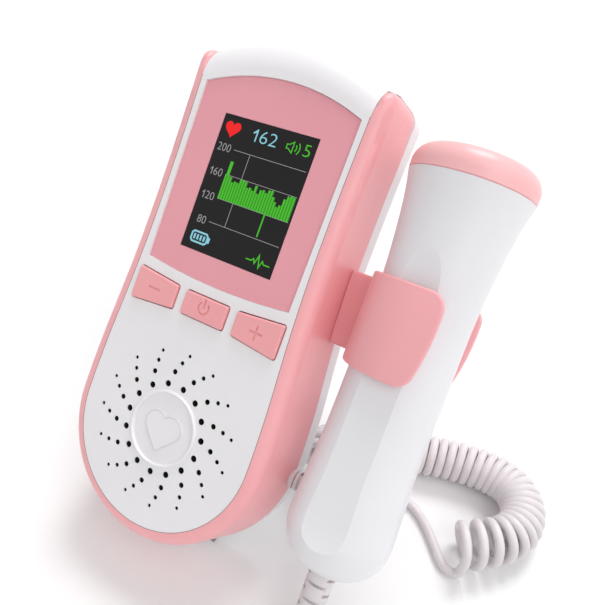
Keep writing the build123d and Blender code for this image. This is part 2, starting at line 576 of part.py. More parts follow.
def speaker_magnet():
    """The speaker's magnet, behind its basket."""
    front = -FACE_T - CLOTH_T - SPEAKER_T
    return rod((0, 0, front - MAGNET_T), (0, 0, front), MAGNET_R)


def battery_cells():
    """Two round cells side by side, one each way up."""
    cells = []
    for side in (1, -1):
        x = side * CELL_X
        low, high = CELL_LOW_Y, CELL_LOW_Y + CELL_L
        start, end = (low, high - CELL_NUB_L) if side > 0 else (low + CELL_NUB_L, high)
        can = rod((x, start, CELL_Z), (x, end, CELL_Z), CELL_R)
        cells.append(can + rod((x, low, CELL_Z), (x, high, CELL_Z), CELL_NUB_R))
    return Compound(children=cells)


def battery_contacts():
    """The sprung plates at both ends of the battery bay."""
    low, high = CELL_LOW_Y - BAY_END, CELL_LOW_Y + CELL_L + BAY_END
    tall = (CELL_Z - CELL_R + CONTACT_R, CELL_Z + CELL_R - CONTACT_R)
    bridge = block((-CELL_X - CONTACT_R, CELL_X + CONTACT_R), (high - CONTACT_T, high), tall)
    contacts = []
    for side in (1, -1):
        x = side * CELL_X
        bridge += rod((x, CELL_LOW_Y + CELL_L, CELL_Z), (x, high, CELL_Z), CONTACT_R)
        tab = block((x - CELL_R + CONTACT_R, x + CELL_R - CONTACT_R), (low, low + CONTACT_T), tall)
        contacts.append(tab + rod((x, low, CELL_Z), (x, CELL_LOW_Y, CELL_Z), CONTACT_R))
    return Compound(children=[bridge] + contacts)


def case_screws():
    """The four screws that hold the shells together, from the back."""
    seat = WALL - BODY_T
    return Compound(children=[
        rod((x, y, seat), (x, y, seat + CASE_SCREW_L), CASE_SCREW_R)
        + rod((x, y, seat - CASE_HEAD_T), (x, y, seat), CASE_HEAD_R) for x, y in case_spots()])


def earphone_socket():
    """The earphone socket through the left side."""
    reach = FOOT_R + BULGE - SHELL_GAP
    body = rod((-reach + JACK_L, JACK_Y, JACK_Z), (-reach, JACK_Y, JACK_Z), JACK_R + JACK_WALL - FIT)
    seat = FOOT_R - WALL - JACK_SEAT
    body += block((-seat, -reach + JACK_L), (JACK_Y - 2 * JACK_R, JACK_Y + 2 * JACK_R),
                  (JACK_Z - 2 * JACK_R, JACK_Z + 2 * JACK_R))
    return body - rod((-reach + JACK_DEPTH, JACK_Y, JACK_Z), (-reach, JACK_Y, JACK_Z), JACK_R)


# ---------------------------------------------------------------- kickstand and feet
def swing_open(shape):
    """Turn a piece of the folded kickstand about its pin to where it stands."""
    pin = Pos(0, HINGE_Y, HINGE_Z)
    return pin * Rot(STAND_OPEN, 0, 0) * pin.inverse() * shape


def kickstand():
    """The flat stand with its pin barrel."""
    half_t = STAND_T / 2
    leaf = block((-STAND_HALF, STAND_HALF), (HINGE_Y - STAND_L + FOOT_L, HINGE_Y),
                 (HINGE_Z - half_t, HINGE_Z + half_t))
    barrel = rod((-STAND_HALF, HINGE_Y, HINGE_Z), (STAND_HALF, HINGE_Y, HINGE_Z), BARREL_R)
    hole = rod((-STAND_HALF, HINGE_Y, HINGE_Z), (STAND_HALF, HINGE_Y, HINGE_Z), PIN_R + PIN_FIT)
    return swing_open(leaf + barrel - hole)


def kickstand_foot():
    """The stand's rubber tip, before the surface trims it flat."""
    half_t = STAND_T / 2
    return swing_open(block((-STAND_HALF, STAND_HALF),
                            (HINGE_Y - STAND_L - STAND_T, HINGE_Y - STAND_L + FOOT_L),
                            (HINGE_Z - half_t, HINGE_Z + half_t)))


def kickstand_pin():
    """The steel pin that the stand swings on."""
    rim = POCKET_HALF + POCKET_WALL
    return rod((-rim, HINGE_Y, HINGE_Z), (rim, HINGE_Y, HINGE_Z), PIN_R)


def above_surface(shape):
    """Trim whatever reaches below the surface off a piece that already stands."""
    return shape - block((-ARCH_R, ARCH_R), (-ARCH_R, 2 * ARCH_R), (-ARCH_R, 0))


def foot_pads(body):
    """Two rubber pads under the lower edge of the back, flat where they meet the surface."""
    middle = (PAD_INNER + PAD_OUTER) / 2
    low_y = -sqrt(BODY_LOW_Y**2 - middle**2)
    back, _ = on_surface(low_y, BODY_LOW_Z)
    pad = block((PAD_INNER, PAD_OUTER), (back - PAD_LENGTH / 2, back + PAD_LENGTH / 2), (0, PAD_H))
    return both_sides(pad) - lean_back(body)


# ---------------------------------------------------------------- probe
def on_probe(shape):
    """Put a piece turned about the z axis onto the probe's axis, its z along the face's y."""
    return Pos(PROBE_X, 0, PROBE_Z) * Rot(-90, 0, 0) * shape


def turned_profile(edges):
    """A solid turned about the z axis from the closed half profile that the edges make."""
    return revolve(Plane.XZ * make_face(edges), Axis.Z)


def probe_form(inset):
    """The probe's handle, flared neck and round lower end, inset from its outer surface."""
    side = [(radius - inset, y) for radius, y in PROBE_PROFILE]
    start, end = side[0], side[-1]
    low = PROBE_END_Y + inset
    flat_r = PROBE_PROFILE[0][0] - PROBE_END_R
    foot = EllipticalCenterArc((flat_r, start[1]), start[0] - flat_r, start[1] - low,
                               start_angle=270, arc_size=90)
    return turned_profile([Line((0, low), (flat_r, low)), foot, Spline(*side), Line(end, (0, end[1])),
                           Line((0, end[1]), (0, low))])


def handle_radius(y):
    """The handle's radius at a height, on the profile's straight runs."""
    low = max(k for k, (_, height) in enumerate(PROBE_PROFILE[:-1]) if k == 0 or height <= y)
    (low_r, low_y), (high_r, high_y) = PROBE_PROFILE[low:low + 2]
    return low_r + (high_r - low_r) * (y - low_y) / (high_y - low_y)


def facet():
    """The long flat panel down the front of the probe, as the material it takes away."""
    front = [(y, handle_radius(y) - sink) for y, sink in FACET_SINK]
    far = 2 * CAP_R_OUT
    (low_y, low_z), (high_y, high_z) = front[0], front[-1]
    face = make_face([Spline(*front), Line((high_y, high_z), (high_y, far)),
                      Line((high_y, far), (low_y, far)), Line((low_y, far), (low_y, low_z))])
    slab = Pos(-CAP_R_OUT, 0, 0) * extrude(Plane.YZ * face, 2 * CAP_R_OUT)
    return Pos(PROBE_X, 0, PROBE_Z) * Rot(0, -FACET_TURN, 0) * slab


def probe_body():
    """The probe's hollow handle, with its flat front and the hole for the strain relief."""
    shell = probe_form(0) - probe_form(PROBE_WALL)
    shell -= rod((0, 0, PROBE_END_Y), (0, 0, 0), RELIEF_R)
    return on_probe(shell) - facet()


def probe_cap():
    """The pink sensing end: a crowned cap with a spigot that fits inside the handle."""
    edge_y = CAP_TOP_Y - CAP_CROWN
    rim = CAP_R_OUT + CAP_FLARE
    profile = make_face([
        Line((0, SEAM_Y), (CAP_R_OUT, SEAM_Y)), Line((CAP_R_OUT, SEAM_Y), (rim, edge_y)),
        Line((rim, edge_y), (0, CAP_TOP_Y)), Line((0, CAP_TOP_Y), (0, SEAM_Y))])
    corner = profile.vertices().sort_by_distance((rim, edge_y))[0]
    profile = fillet(corner, CAP_EDGE_R)
    edge = profile.vertices().sort_by_distance((CAP_R_OUT, SEAM_Y))[0]
    profile = chamfer(edge, SEAM_GROOVE)
    cap = revolve(Plane.XZ * profile, Axis.Z)
    low = SEAM_Y - SPIGOT_L
    cap += rod((0, 0, low), (0, 0, SEAM_Y), SPIGOT_R)
    cap -= rod((0, 0, low), (0, 0, edge_y - CAP_WALL), SPIGOT_R - SPIGOT_WALL)
    return on_probe(cap)


def piezo_discs():
    """The two half discs behind the cap, one that sends and one that listens."""
    top = CAP_TOP_Y - CAP_CROWN - CAP_WALL
    disc = rod((0, 0, top - PIEZO_T), (0, 0, top), PIEZO_R)
    disc -= Pos(0, 0, top) * Box(PIEZO_GAP, 4 * PIEZO_R, 4 * PIEZO_T)
    return on_probe(disc)


def acoustic_backing():
    """The damping block behind the half discs."""
    top = CAP_TOP_Y - CAP_CROWN - CAP_WALL - PIEZO_T
    return on_probe(rod((0, 0, top - BACKING_T), (0, 0, top), BACKING_R))


def probe_board():
    """The probe's long circuit board, held edgewise between its walls."""
    x, z, half = PROBE_X, PROBE_Z, PROBE_BOARD_HALF
    return block((x - half, x + half), (PROBE_BOARD_LOW_Y, PROBE_BOARD_HIGH_Y),
                 (z - PROBE_BOARD_T / 2, z + PROBE_BOARD_T / 2))


def probe_strain_relief():
    """The ribbed sleeve that the cord leaves the probe by."""
    tip = PROBE_END_Y - RELIEF_L
    inside = PROBE_END_Y + PROBE_WALL
    sleeve = Pos(0, 0, (tip + PROBE_END_Y) / 2) * Cone(RELIEF_TIP_R, RELIEF_R - FIT, RELIEF_L)
    sleeve += rod((0, 0, PROBE_END_Y), (0, 0, inside), RELIEF_R - FIT)
    sleeve += rod((0, 0, inside), (0, 0, inside + RELIEF_FLANGE_T), RELIEF_FLANGE_R)
    pitch = RELIEF_L / (RELIEF_SLOTS + 1)
    for slot in range(RELIEF_SLOTS):
        spot = Pos(0, 0, tip + pitch * (slot + 1)) * Rot(0, 0, 90 * (slot % 2))
        for side in (1, -1):
            across = side * (RELIEF_TIP_R - RELIEF_SLOT_DEPTH + RELIEF_R / 2)
            sleeve -= spot * Pos(across, 0, 0) * Box(RELIEF_R, 2 * RELIEF_R, RELIEF_SLOT_W)
    return on_probe(sleeve)


# ---------------------------------------------------------------- clip on the hand unit's side
def jaw(reach, low, high):
    """A flat jaw of the clip, its free edge leaning and bowed and its two corners rounded."""
    edge = (reach - JAW_SKEW, CLIP_LOW_Y), (reach, CLIP_HIGH_Y)
    middle = (reach - JAW_SKEW / 2 + JAW_BOW, (CLIP_LOW_Y + CLIP_HIGH_Y) / 2)
    face = make_face([ThreePointArc(edge[0], middle, edge[1]),
                      Polyline(edge[1], (0, CLIP_HIGH_Y), (0, CLIP_LOW_Y), edge[0])])
    face = fillet(face.vertices().sort_by(Axis.X)[-2:], JAW_CORNER)
    return Pos(PROBE_X, 0, PROBE_Z) * plate(face, low, high)


def probe_clip(body):
    """The open channel that grips the probe, with the stem that joins it to the side."""
    ends = ((PROBE_X, CLIP_LOW_Y, PROBE_Z), (PROBE_X, CLIP_HIGH_Y, PROBE_Z))
    half = (CLIP_LOW_Y, CLIP_HIGH_Y), (PROBE_Z - CLIP_OUT_R, PROBE_Z + CLIP_OUT_R)
    clip = rod(*ends, CLIP_OUT_R) & block((PROBE_X - CLIP_OUT_R, PROBE_X), *half)
    clip += jaw(FRONT_JAW, CLIP_IN_R, CLIP_OUT_R) + jaw(REAR_JAW, -CLIP_OUT_R, -CLIP_IN_R)
    stem = block((WAIST_HALF, PROBE_X), (STEM_LOW_Y, STEM_HIGH_Y), (STEM_LOW_Z, STEM_HIGH_Z))
    clip += stem - body
    clip -= rod(*ends, CLIP_IN_R)
    tip_x = WAIST_HALF + BULGE + CLIP_SCREW_BITE
    return clip - [rod((WAIST_HALF, y, z), (tip_x, y, z), CLIP_SCREW_R)
                   for y, z in clip_screw_spots()]


def clip_screws():
    """The two screws that hold the clip, their heads inside the hand unit."""
    tip_x = WAIST_HALF + BULGE + CLIP_SCREW_BITE
    return Compound(children=[
        rod((CLIP_SEAT_X, y, z), (tip_x, y, z), CLIP_SCREW_R)
        + rod((CLIP_SEAT_X - CLIP_HEAD_T, y, z), (CLIP_SEAT_X, y, z), CLIP_HEAD_R)
        for y, z in clip_screw_spots()])


# ---------------------------------------------------------------- cord and its boot
def boot_path():
    """The middle line of the boot: straight out of the side, then bent towards the back."""
    start = (BOOT_FLANGE_X, BOOT_Y, SEAM_Z)
    turn = FOOT_OUT + BOOT_OUT
    bend = radians(BOOT_BEND)

    def at(angle):
        return (turn + BOOT_BEND_R * sin(angle), BOOT_Y, SEAM_Z - BOOT_BEND_R * (1 - cos(angle)))
    return Line(start, at(0)) + ThreePointArc(at(0), at(bend / 2), at(bend))


def cord_boot():
    """The ribbed sleeve that the cord leaves the hand unit by."""
    path = boot_path()
    sleeve = sweep(Plane(origin=path @ 0, z_dir=path % 0) * Circle(BOOT_CORE_R), path=path)
    wall_x = FOOT_OUT + BOOT_OUT
    x, y, z = BOOT_FLANGE_X, BOOT_Y, SEAM_Z
    sleeve += rod((x, y, z), (wall_x, y, z), BOOT_R - FIT)
    sleeve += rod((x - BOOT_FLANGE_T, y, z), (x, y, z), BOOT_FLANGE_R)
    bent = BOOT_BEND_R * radians(BOOT_BEND)
    pitch = bent / BOOT_RIBS
    for rib in range(BOOT_RIBS):
        along = path.length - bent + pitch * (rib + 1) - BOOT_RIB_T
        spot = path @ (along / path.length)
        lean = path % (along / path.length)
        radius = BOOT_R + (BOOT_TIP_R - BOOT_R) * (rib + 1) / BOOT_RIBS
        sleeve += Plane(origin=spot, z_dir=lean) * Cylinder(radius, BOOT_RIB_T)
    return sleeve


def lean_back(shape):
    """Stand a piece drawn in the hand unit's frame on the surface, leaning on its kickstand."""
    return Pos(0, 0, FLOOR_DROP) * Rot(90 - LEAN, 0, 0) * shape


def lean_point(x, y, z):
    """A point of the hand unit's frame, on the surface's frame."""
    back, up = on_surface(y, z)
    return Vector(x, back, up)


def on_route(route):
    """A route's points on the surface's frame."""
    return [Vector(PROBE_X + x, y, z) for x, y, z in route]


def tube(name, points, radius):
    """A round tube along straight runs joined by the largest arcs that fit them."""
    runs = [b - a for a, b in zip(points, points[1:])]
    radii = []
    for before, after in zip(runs, runs[1:]):
        half_turn = radians(before.get_angle(after)) / 2
        radii.append(0.45 * min(before.length, after.length) / tan(half_turn))
    path = FilletPolyline(*points, radius=radii)
    solid = sweep(Plane(origin=points[0], z_dir=runs[0]) * Circle(radius), path=path)
    print(name, "radii", [round(r, 1) for r in radii], "length", round(path.length, 1),
          "volume ratio", round(solid.volume / (pi * radius**2 * path.length), 4))
    return solid


def lead_points():
    """The cord from the boot's tip to the start of the coil."""
    path = boot_path()
    tip = lean_point(*(path @ 1))
    beyond = path @ 1 + (path % 1) * LEAD_STEP
    coil, beyond_coil = on_route(COIL_ROUTE[:2])
    along = (beyond_coil - coil).normalized()
    return [tip, lean_point(*beyond), coil - along * LEAD_STEP, coil]


def tail_points():
    """The cord from the probe's strain relief round to the far end of the coil."""
    tip_y = PROBE_END_Y - RELIEF_L
    tip = lean_point(PROBE_X, tip_y, PROBE_Z)
    drop = lean_point(PROBE_X, tip_y - TAIL_DROP, PROBE_Z)
    before, end = on_route(COIL_ROUTE[-2:])
    along = (end - before).normalized()
    mouth = end + along.cross(Vector(0, 0, -1)) * TAIL_SIDE - Vector(0, 0, TAIL_LOW)
    return [tip, drop, *on_route(TAIL_ROUTE), mouth + along * TAIL_STEP, mouth]


# ---------------------------------------------------------------- the whole object
whole = plain_body()
pieces = {
    "front_shell": front_shell(whole),
    "side_band": side_band(whole),
    "back_shell": back_shell(whole),
    "battery_cover": battery_cover(),
    "display_bezel": display_bezel(),
    "screen_glass": screen_glass(),
    "lcd_module": lcd_module(),
    "main_board": main_board(),
    "board_screws": board_screws(),
    "tact_switches": tact_switches(),
    "button_minus": button(-1),
    "button_power": button(0),
    "button_plus": button(1),
    "grille_cloth": grille_cloth(),
    "speaker_frame": speaker_frame(),
    "speaker_cone": speaker_cone(),
    "speaker_magnet": speaker_magnet(),
    "battery_cells": battery_cells(),
    "battery_contacts": battery_contacts(),
    "case_screws": case_screws(),
    "kickstand": kickstand(),
    "kickstand_pin": kickstand_pin(),
    "earphone_socket": earphone_socket(),
    "probe_clip": probe_clip(whole),
    "clip_screws": clip_screws(),
    "cord_boot": cord_boot(),
    "probe_body": probe_body(),
    "probe_cap": probe_cap(),
    "piezo_discs": piezo_discs(),
    "acoustic_backing": acoustic_backing(),
    "probe_board": probe_board(),
    "probe_strain_relief": probe_strain_relief(),
}
standing = {name: lean_back(piece) for name, piece in pieces.items()}
standing["kickstand_foot"] = above_surface(lean_back(kickstand_foot()))
standing["foot_pads"] = foot_pads(whole)
box = Compound(children=[Compound(piece.solids()) for piece in standing.values()]).bounding_box()
cords = {
    "cord_monitor_side": tube("cord_monitor_side", lead_points(), CORD_R),
    "cord_coil": tube("cord_coil", on_route(COIL_ROUTE), COIL_R),
    "cord_probe_side": tube("cord_probe_side", tail_points(), CORD_R),
}
center = Pos(-(box.min.X + box.max.X) / 2, -(box.min.Y + box.max.Y) / 2, 0)
for name, piece in {**standing, **cords}.items():
    export_step(center * piece, f"parts/{name}.step")
print("lowest point", round(box.min.Z, 4), "box", [round(v, 2) for v in box.size])
print("shift", round(center.position.X, 4), round(center.position.Y, 4))
print("stand opens by", round(STAND_OPEN, 3), "hinge", [round(v, 3) for v in lean_point(0, HINGE_Y, HINGE_Z)])
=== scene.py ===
"""Looks of a home fetal doppler monitor.

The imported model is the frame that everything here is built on.  Shapes are worked out in
millimetres in the hand unit's own frame (x right across the face, y up along the face, z out of
the face, from the centre of the grille's ring) or on the surface that the object stands on, and
`Stance` turns both into metres in the row frame.
"""
from __future__ import annotations

import json
import logging
import math
from dataclasses import dataclass, field
from enum import Enum
from typing import Callable, Mapping

import bmesh
import bpy
import numpy as np
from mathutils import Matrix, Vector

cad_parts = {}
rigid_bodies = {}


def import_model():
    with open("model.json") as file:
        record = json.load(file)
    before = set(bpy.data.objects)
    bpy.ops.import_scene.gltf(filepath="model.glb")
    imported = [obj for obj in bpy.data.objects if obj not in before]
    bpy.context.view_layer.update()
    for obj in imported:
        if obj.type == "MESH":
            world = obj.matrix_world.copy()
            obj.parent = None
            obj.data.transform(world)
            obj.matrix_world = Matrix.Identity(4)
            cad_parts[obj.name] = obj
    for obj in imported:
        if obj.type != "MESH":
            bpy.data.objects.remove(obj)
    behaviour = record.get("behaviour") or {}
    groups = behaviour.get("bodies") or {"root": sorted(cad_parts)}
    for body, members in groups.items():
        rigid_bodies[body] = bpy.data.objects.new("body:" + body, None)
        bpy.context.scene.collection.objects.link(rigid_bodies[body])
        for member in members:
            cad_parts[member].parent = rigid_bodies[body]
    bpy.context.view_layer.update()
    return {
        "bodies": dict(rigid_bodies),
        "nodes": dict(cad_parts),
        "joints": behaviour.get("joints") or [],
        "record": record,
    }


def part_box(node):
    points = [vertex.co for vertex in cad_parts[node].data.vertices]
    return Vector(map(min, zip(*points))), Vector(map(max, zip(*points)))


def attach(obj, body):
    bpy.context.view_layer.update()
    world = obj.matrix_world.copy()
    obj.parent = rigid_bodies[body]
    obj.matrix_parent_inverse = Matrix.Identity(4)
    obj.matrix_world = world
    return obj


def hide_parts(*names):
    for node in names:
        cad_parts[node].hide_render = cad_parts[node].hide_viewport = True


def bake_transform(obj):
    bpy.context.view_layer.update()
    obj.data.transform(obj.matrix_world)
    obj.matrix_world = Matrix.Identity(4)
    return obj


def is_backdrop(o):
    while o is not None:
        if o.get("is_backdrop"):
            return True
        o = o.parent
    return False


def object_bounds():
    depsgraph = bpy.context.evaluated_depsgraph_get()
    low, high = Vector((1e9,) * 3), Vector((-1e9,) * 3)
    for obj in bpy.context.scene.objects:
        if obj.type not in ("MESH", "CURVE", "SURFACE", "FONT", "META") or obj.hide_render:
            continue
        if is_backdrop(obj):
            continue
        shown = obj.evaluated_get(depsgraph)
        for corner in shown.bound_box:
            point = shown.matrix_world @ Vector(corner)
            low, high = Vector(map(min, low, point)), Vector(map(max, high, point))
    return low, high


MM = 0.001
MERGE_DISTANCE = 0.002 * MM
CREASE_ANGLE = math.radians(35)
log = logging.getLogger("doppler")

Color = tuple[float, float, float]
Array = np.ndarray


def srgb(red: int, green: int, blue: int) -> Color:
    """A colour given as it looks on a screen, turned into linear light.

    Args:
        red: Its red, 0 to 255.
        green: Its green.
        blue: Its blue.

    Returns:
        The same three as shares of full light.
    """
    def linear(level: int) -> float:
        """One part's share of full light."""
        share = level / 255
        return share / 12.92 if share <= 0.04045 else ((share + 0.055) / 1.055) ** 2.4
    return linear(red), linear(green), linear(blue)


# --- where the object stands
@dataclass(frozen=True)
class Stance:
    """How the hand unit's frame and the surface's frame lie in the row frame.

    lean is how far the hand unit leans back from upright.  pin_y and pin_z place the kickstand's
    pin in the hand unit's frame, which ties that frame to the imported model.
    """

    lean: float = math.radians(41.4)
    pin_y: float = 43.5
    pin_z: float = -26.5

    def turn(self) -> Array:
        """The 3 by 3 turn from the hand unit's frame to the row frame."""
        back, up = math.sin(self.lean), math.cos(self.lean)
        return np.array([[1, 0, 0], [0, back, -up], [0, up, back]])

    def origin(self) -> Array:
        """Works out where the ring's centre is from the kickstand's pin and the side band.

        Returns:
            The point in the row frame, in millimetres.
        """
        low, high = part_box("side_band")
        pin_low, pin_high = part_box("kickstand_pin")
        pin = (np.array(pin_low) + np.array(pin_high)) / 2 / MM
        pin[0] = (low[0] + high[0]) / 2 / MM
        return pin - self.turn() @ np.array([0, self.pin_y, self.pin_z])

    def unit(self, points: Array) -> Array:
        """Points of the hand unit's frame (mm) as row frame points (m)."""
        return (np.asarray(points, float) @ self.turn().T + self.origin()) * MM

    def local(self, points: Array) -> Array:
        """Row frame points (m) as points of the hand unit's frame (mm)."""
        return (np.asarray(points, float) / MM - self.origin()) @ self.turn()

    def ground(self, points: Array) -> Array:
        """Points measured on the surface from below the ring's centre (mm) as row points (m)."""
        shift = self.origin() * np.array([1, 1, 0])
        return (np.asarray(points, float) + shift) * MM


# --- shader expressions
class Value:
    """A number inside a material's node tree that ordinary arithmetic works on."""

    def __init__(self, shop: "NodeShop", socket: bpy.types.NodeSocket) -> None:
        """Keeps the socket and the shop that makes further nodes."""
        self.shop = shop
        self.socket = socket

    def _math(self, operation: str, first: object, second: object = 0.0) -> "Value":
        """One Math node on two operands."""
        return self.shop.node("ShaderNodeMath", {"operation": operation}, {0: first, 1: second})

    def __add__(self, other: object) -> "Value":
        """self + other."""
        return self._math("ADD", self, other)

    def __radd__(self, other: object) -> "Value":
        """other + self."""
        return self._math("ADD", other, self)

    def __rsub__(self, other: object) -> "Value":
        """other - self."""
        return self._math("SUBTRACT", other, self)

    def __mul__(self, other: object) -> "Value":
        """self * other."""
        return self._math("MULTIPLY", self, other)

    def sine(self) -> "Value":
        """The sine of an angle in radians."""
        return self._math("SINE", self)

    def above(self, edge: float, soft: float) -> "Value":
        """0 below edge and 1 above it, with a smooth step of width soft."""
        return self.shop.node(
            "ShaderNodeMapRange", {"interpolation_type": "SMOOTHSTEP"},
            {"Value": self, "From Min": edge - soft / 2, "From Max": edge + soft / 2})


class NodeShop:
    """Makes the nodes of one tree."""

    def __init__(self, tree: bpy.types.NodeTree) -> None:
        """Keeps the tree."""
        self.tree = tree

    def plug(self, socket: bpy.types.NodeSocket, value: object) -> None:
        """Links a Value to a socket, or sets the socket to a constant.

        Args:
            socket: The socket.
            value: The Value, number, colour or vector for it.
        """
        if isinstance(value, Value):
            self.tree.links.new(value.socket, socket)
        elif isinstance(value, (tuple, list)) and socket.type == "RGBA":
            socket.default_value = (*value[:3], 1.0)
        else:
            socket.default_value = value

    def node(self, kind: str, settings: Mapping[str, object] | None = None,
             values: Mapping[object, object] | None = None, output: object = 0) -> Value:
        """Makes a node.

        Args:
            kind: The node's type.
            settings: Its own properties, set before its sockets.
            values: Constants or Values for its inputs, by name or place.
            output: The output wanted.

        Returns:
            The output as a Value.
        """
        made = self.tree.nodes.new(kind)
        for key, setting in (settings or {}).items():
            setattr(made, key, setting)
        for key, value in (values or {}).items():
            self.plug(made.inputs[key], value)
        return Value(self, made.outputs[output])

    def place(self) -> Value:
        """The point being shaded, in the row frame, in metres."""
        return self.node("ShaderNodeTexCoord", output="Object")

    def noise(self, size: float, detail: float = 2.0, rough: float = 0.5,
              stretch: tuple[float, float, float] = (1, 1, 1)) -> Value:
        """Smooth noise about one half whose lumps are size millimetres across."""
        where = self.node("ShaderNodeMapping", {}, {"Vector": self.place(), "Scale": stretch})
        return self.node("ShaderNodeTexNoise", {"noise_dimensions": "3D"},
                         {"Vector": where, "Scale": 1 / (size * MM), "Detail": detail,
                          "Roughness": rough}, "Fac")

    def mix(self, share: object, first: object, second: object) -> Value:
        """A colour between two colours."""
        return self.node("ShaderNodeMix", {"data_type": "RGBA"},
                         {0: share, 6: first, 7: second}, 2)

    def axis(self, name: str) -> Value:
        """The X, Y or Z of the point being shaded."""
        return self.node("ShaderNodeSeparateXYZ", {}, {0: self.place()}, name)

    def wave(self, name: str, pitch: float) -> Value:
        """A sine along an axis of the row frame, one wave to each pitch in millimetres."""
        return (self.axis(name) * (2 * math.pi / (pitch * MM))).sine()

    def bump(self, height: Value, depth: float, edge: float = 0.0) -> Value:
        """A normal from a height between 0 and 1.

        Args:
            height: The height.
            depth: How tall a height of 1 stands, in millimetres.
            edge: The radius of the light's turn round sharp edges, in millimetres.

        Returns:
            The normal.
        """
        values = {"Height": height, "Distance": depth * MM, "Strength": 1.0}
        if edge:
            values["Normal"] = self.node("ShaderNodeBevel", {"samples": 4}, {"Radius": edge * MM})
        return self.node("ShaderNodeBump", {}, values, "Normal")

    def seen(self) -> Value:
        """1 for what the camera and mirrors see, 0 for what only lights the scene."""
        return (self.node("ShaderNodeLightPath", output="Is Camera Ray")
                + self.node("ShaderNodeLightPath", output="Is Glossy Ray"))


class MaterialShop(NodeShop):
    """Makes the nodes of one material."""

    def __init__(self, name: str) -> None:
        """Starts the material with an output and a Principled shader.

        Args:
            name: The material's name.
        """
        self.material = bpy.data.materials.new(name)
        self.material.use_nodes = True
        super().__init__(self.material.node_tree)
        self.tree.nodes.clear()
        output = self.tree.nodes.new("ShaderNodeOutputMaterial")
        self.shader = self.tree.nodes.new("ShaderNodeBsdfPrincipled")
        self.tree.links.new(self.shader.outputs[0], output.inputs["Surface"])

    def set(self, **sockets: object) -> bpy.types.Material:
        """Plugs values into the Principled shader.

        Args:
            **sockets: Values by socket name, with _ for a space.

        Returns:
            The material.
        """
        for name, value in sockets.items():
            self.plug(self.shader.inputs[name.replace("_", " ")], value)
        return self.material


# --- finishes
@dataclass(frozen=True)
class Moulding:
    """Moulded plastic: a fine spark-eroded grain, slow colour drift and handling marks.

    grain is the size of the texture's lumps and depth their height, both in millimetres.  rough
    is the roughness and rough_drift how far it wanders.  edge is the radius in millimetres that
    the mould leaves on sharp edges.
    """

    name: str
    color: Color
    shade: Color
    rough: float = 0.38
    rough_drift: float = 0.08
    grain: float = 0.22
    depth: float = 0.012
    edge: float = 0.18

    def build(self) -> bpy.types.Material:
        """Makes the material.

        Returns:
            The new material.
        """
        shop = MaterialShop(self.name)
        drift = shop.noise(34.0, 3.0).above(0.5, 0.5)
        speck = shop.noise(0.9, 2.0).above(0.62, 0.3)
        color = shop.mix(drift * 0.55 + speck * 0.08, self.color, self.shade)
        fingers = shop.noise(11.0, 4.0, 0.62, (1, 1, 0.6)).above(0.55, 0.35)
        lines = shop.noise(0.6, 3.0, 0.6, (1, 6, 1)).above(0.68, 0.15)
        rough = fingers * self.rough_drift + lines * 0.03 + (self.rough - self.rough_drift / 2)
        grain = shop.noise(self.grain, 3.0, 0.55) + shop.noise(7.0, 2.0) * 0.35
        return shop.set(Base_Color=color, Roughness=rough, IOR=1.49,
                        Normal=shop.bump(grain, self.depth, edge=self.edge))


@dataclass(frozen=True)
class SoftRubber:
    """Matt rubber or soft jacket with a dusty bloom and a fine skin."""

    name: str
    color: Color
    bloom: Color
    rough: float = 0.6
    grain: float = 0.3
    depth: float = 0.02

    def build(self) -> bpy.types.Material:
        """Makes the material.

        Returns:
            The new material.
        """
        shop = MaterialShop(self.name)
        dust = shop.noise(4.0, 5.0, 0.65).above(0.52, 0.4)
        skin = shop.noise(self.grain, 4.0, 0.6)
        color = shop.mix(dust * 0.7, self.color, self.bloom)
        return shop.set(Base_Color=color, Roughness=dust * 0.12 + (self.rough - 0.06),
                        Normal=shop.bump(skin, self.depth), IOR=1.45)


class Grain(Enum):
    """Which way a metal's brushing runs in the row frame."""

    ACROSS = (0.05, 1.0, 1.0)
    AROUND = (1.0, 1.0, 0.08)
    CAST = (1.0, 1.0, 1.0)


@dataclass(frozen=True)
class Metal:
    """Bare or plated metal with drawn or cast marks and small tarnished spots."""

    name: str
    color: Color
    tarnish: Color
    rough: float = 0.3
    grain: Grain = Grain.CAST

    def build(self) -> bpy.types.Material:
        """Makes the material.

        Returns:
            The new material.
        """
        shop = MaterialShop(self.name)
        draw = shop.noise(0.5, 4.0, 0.6, self.grain.value)
        spots = shop.noise(2.5, 5.0, 0.7).above(0.6, 0.2)
        color = shop.mix(spots * 0.6 + draw * 0.25, self.color, self.tarnish)
        return shop.set(Base_Color=color, Metallic=1.0,
                        Roughness=draw * 0.25 + spots * 0.15 + (self.rough - 0.12),
                        Normal=shop.bump(draw, 0.01))


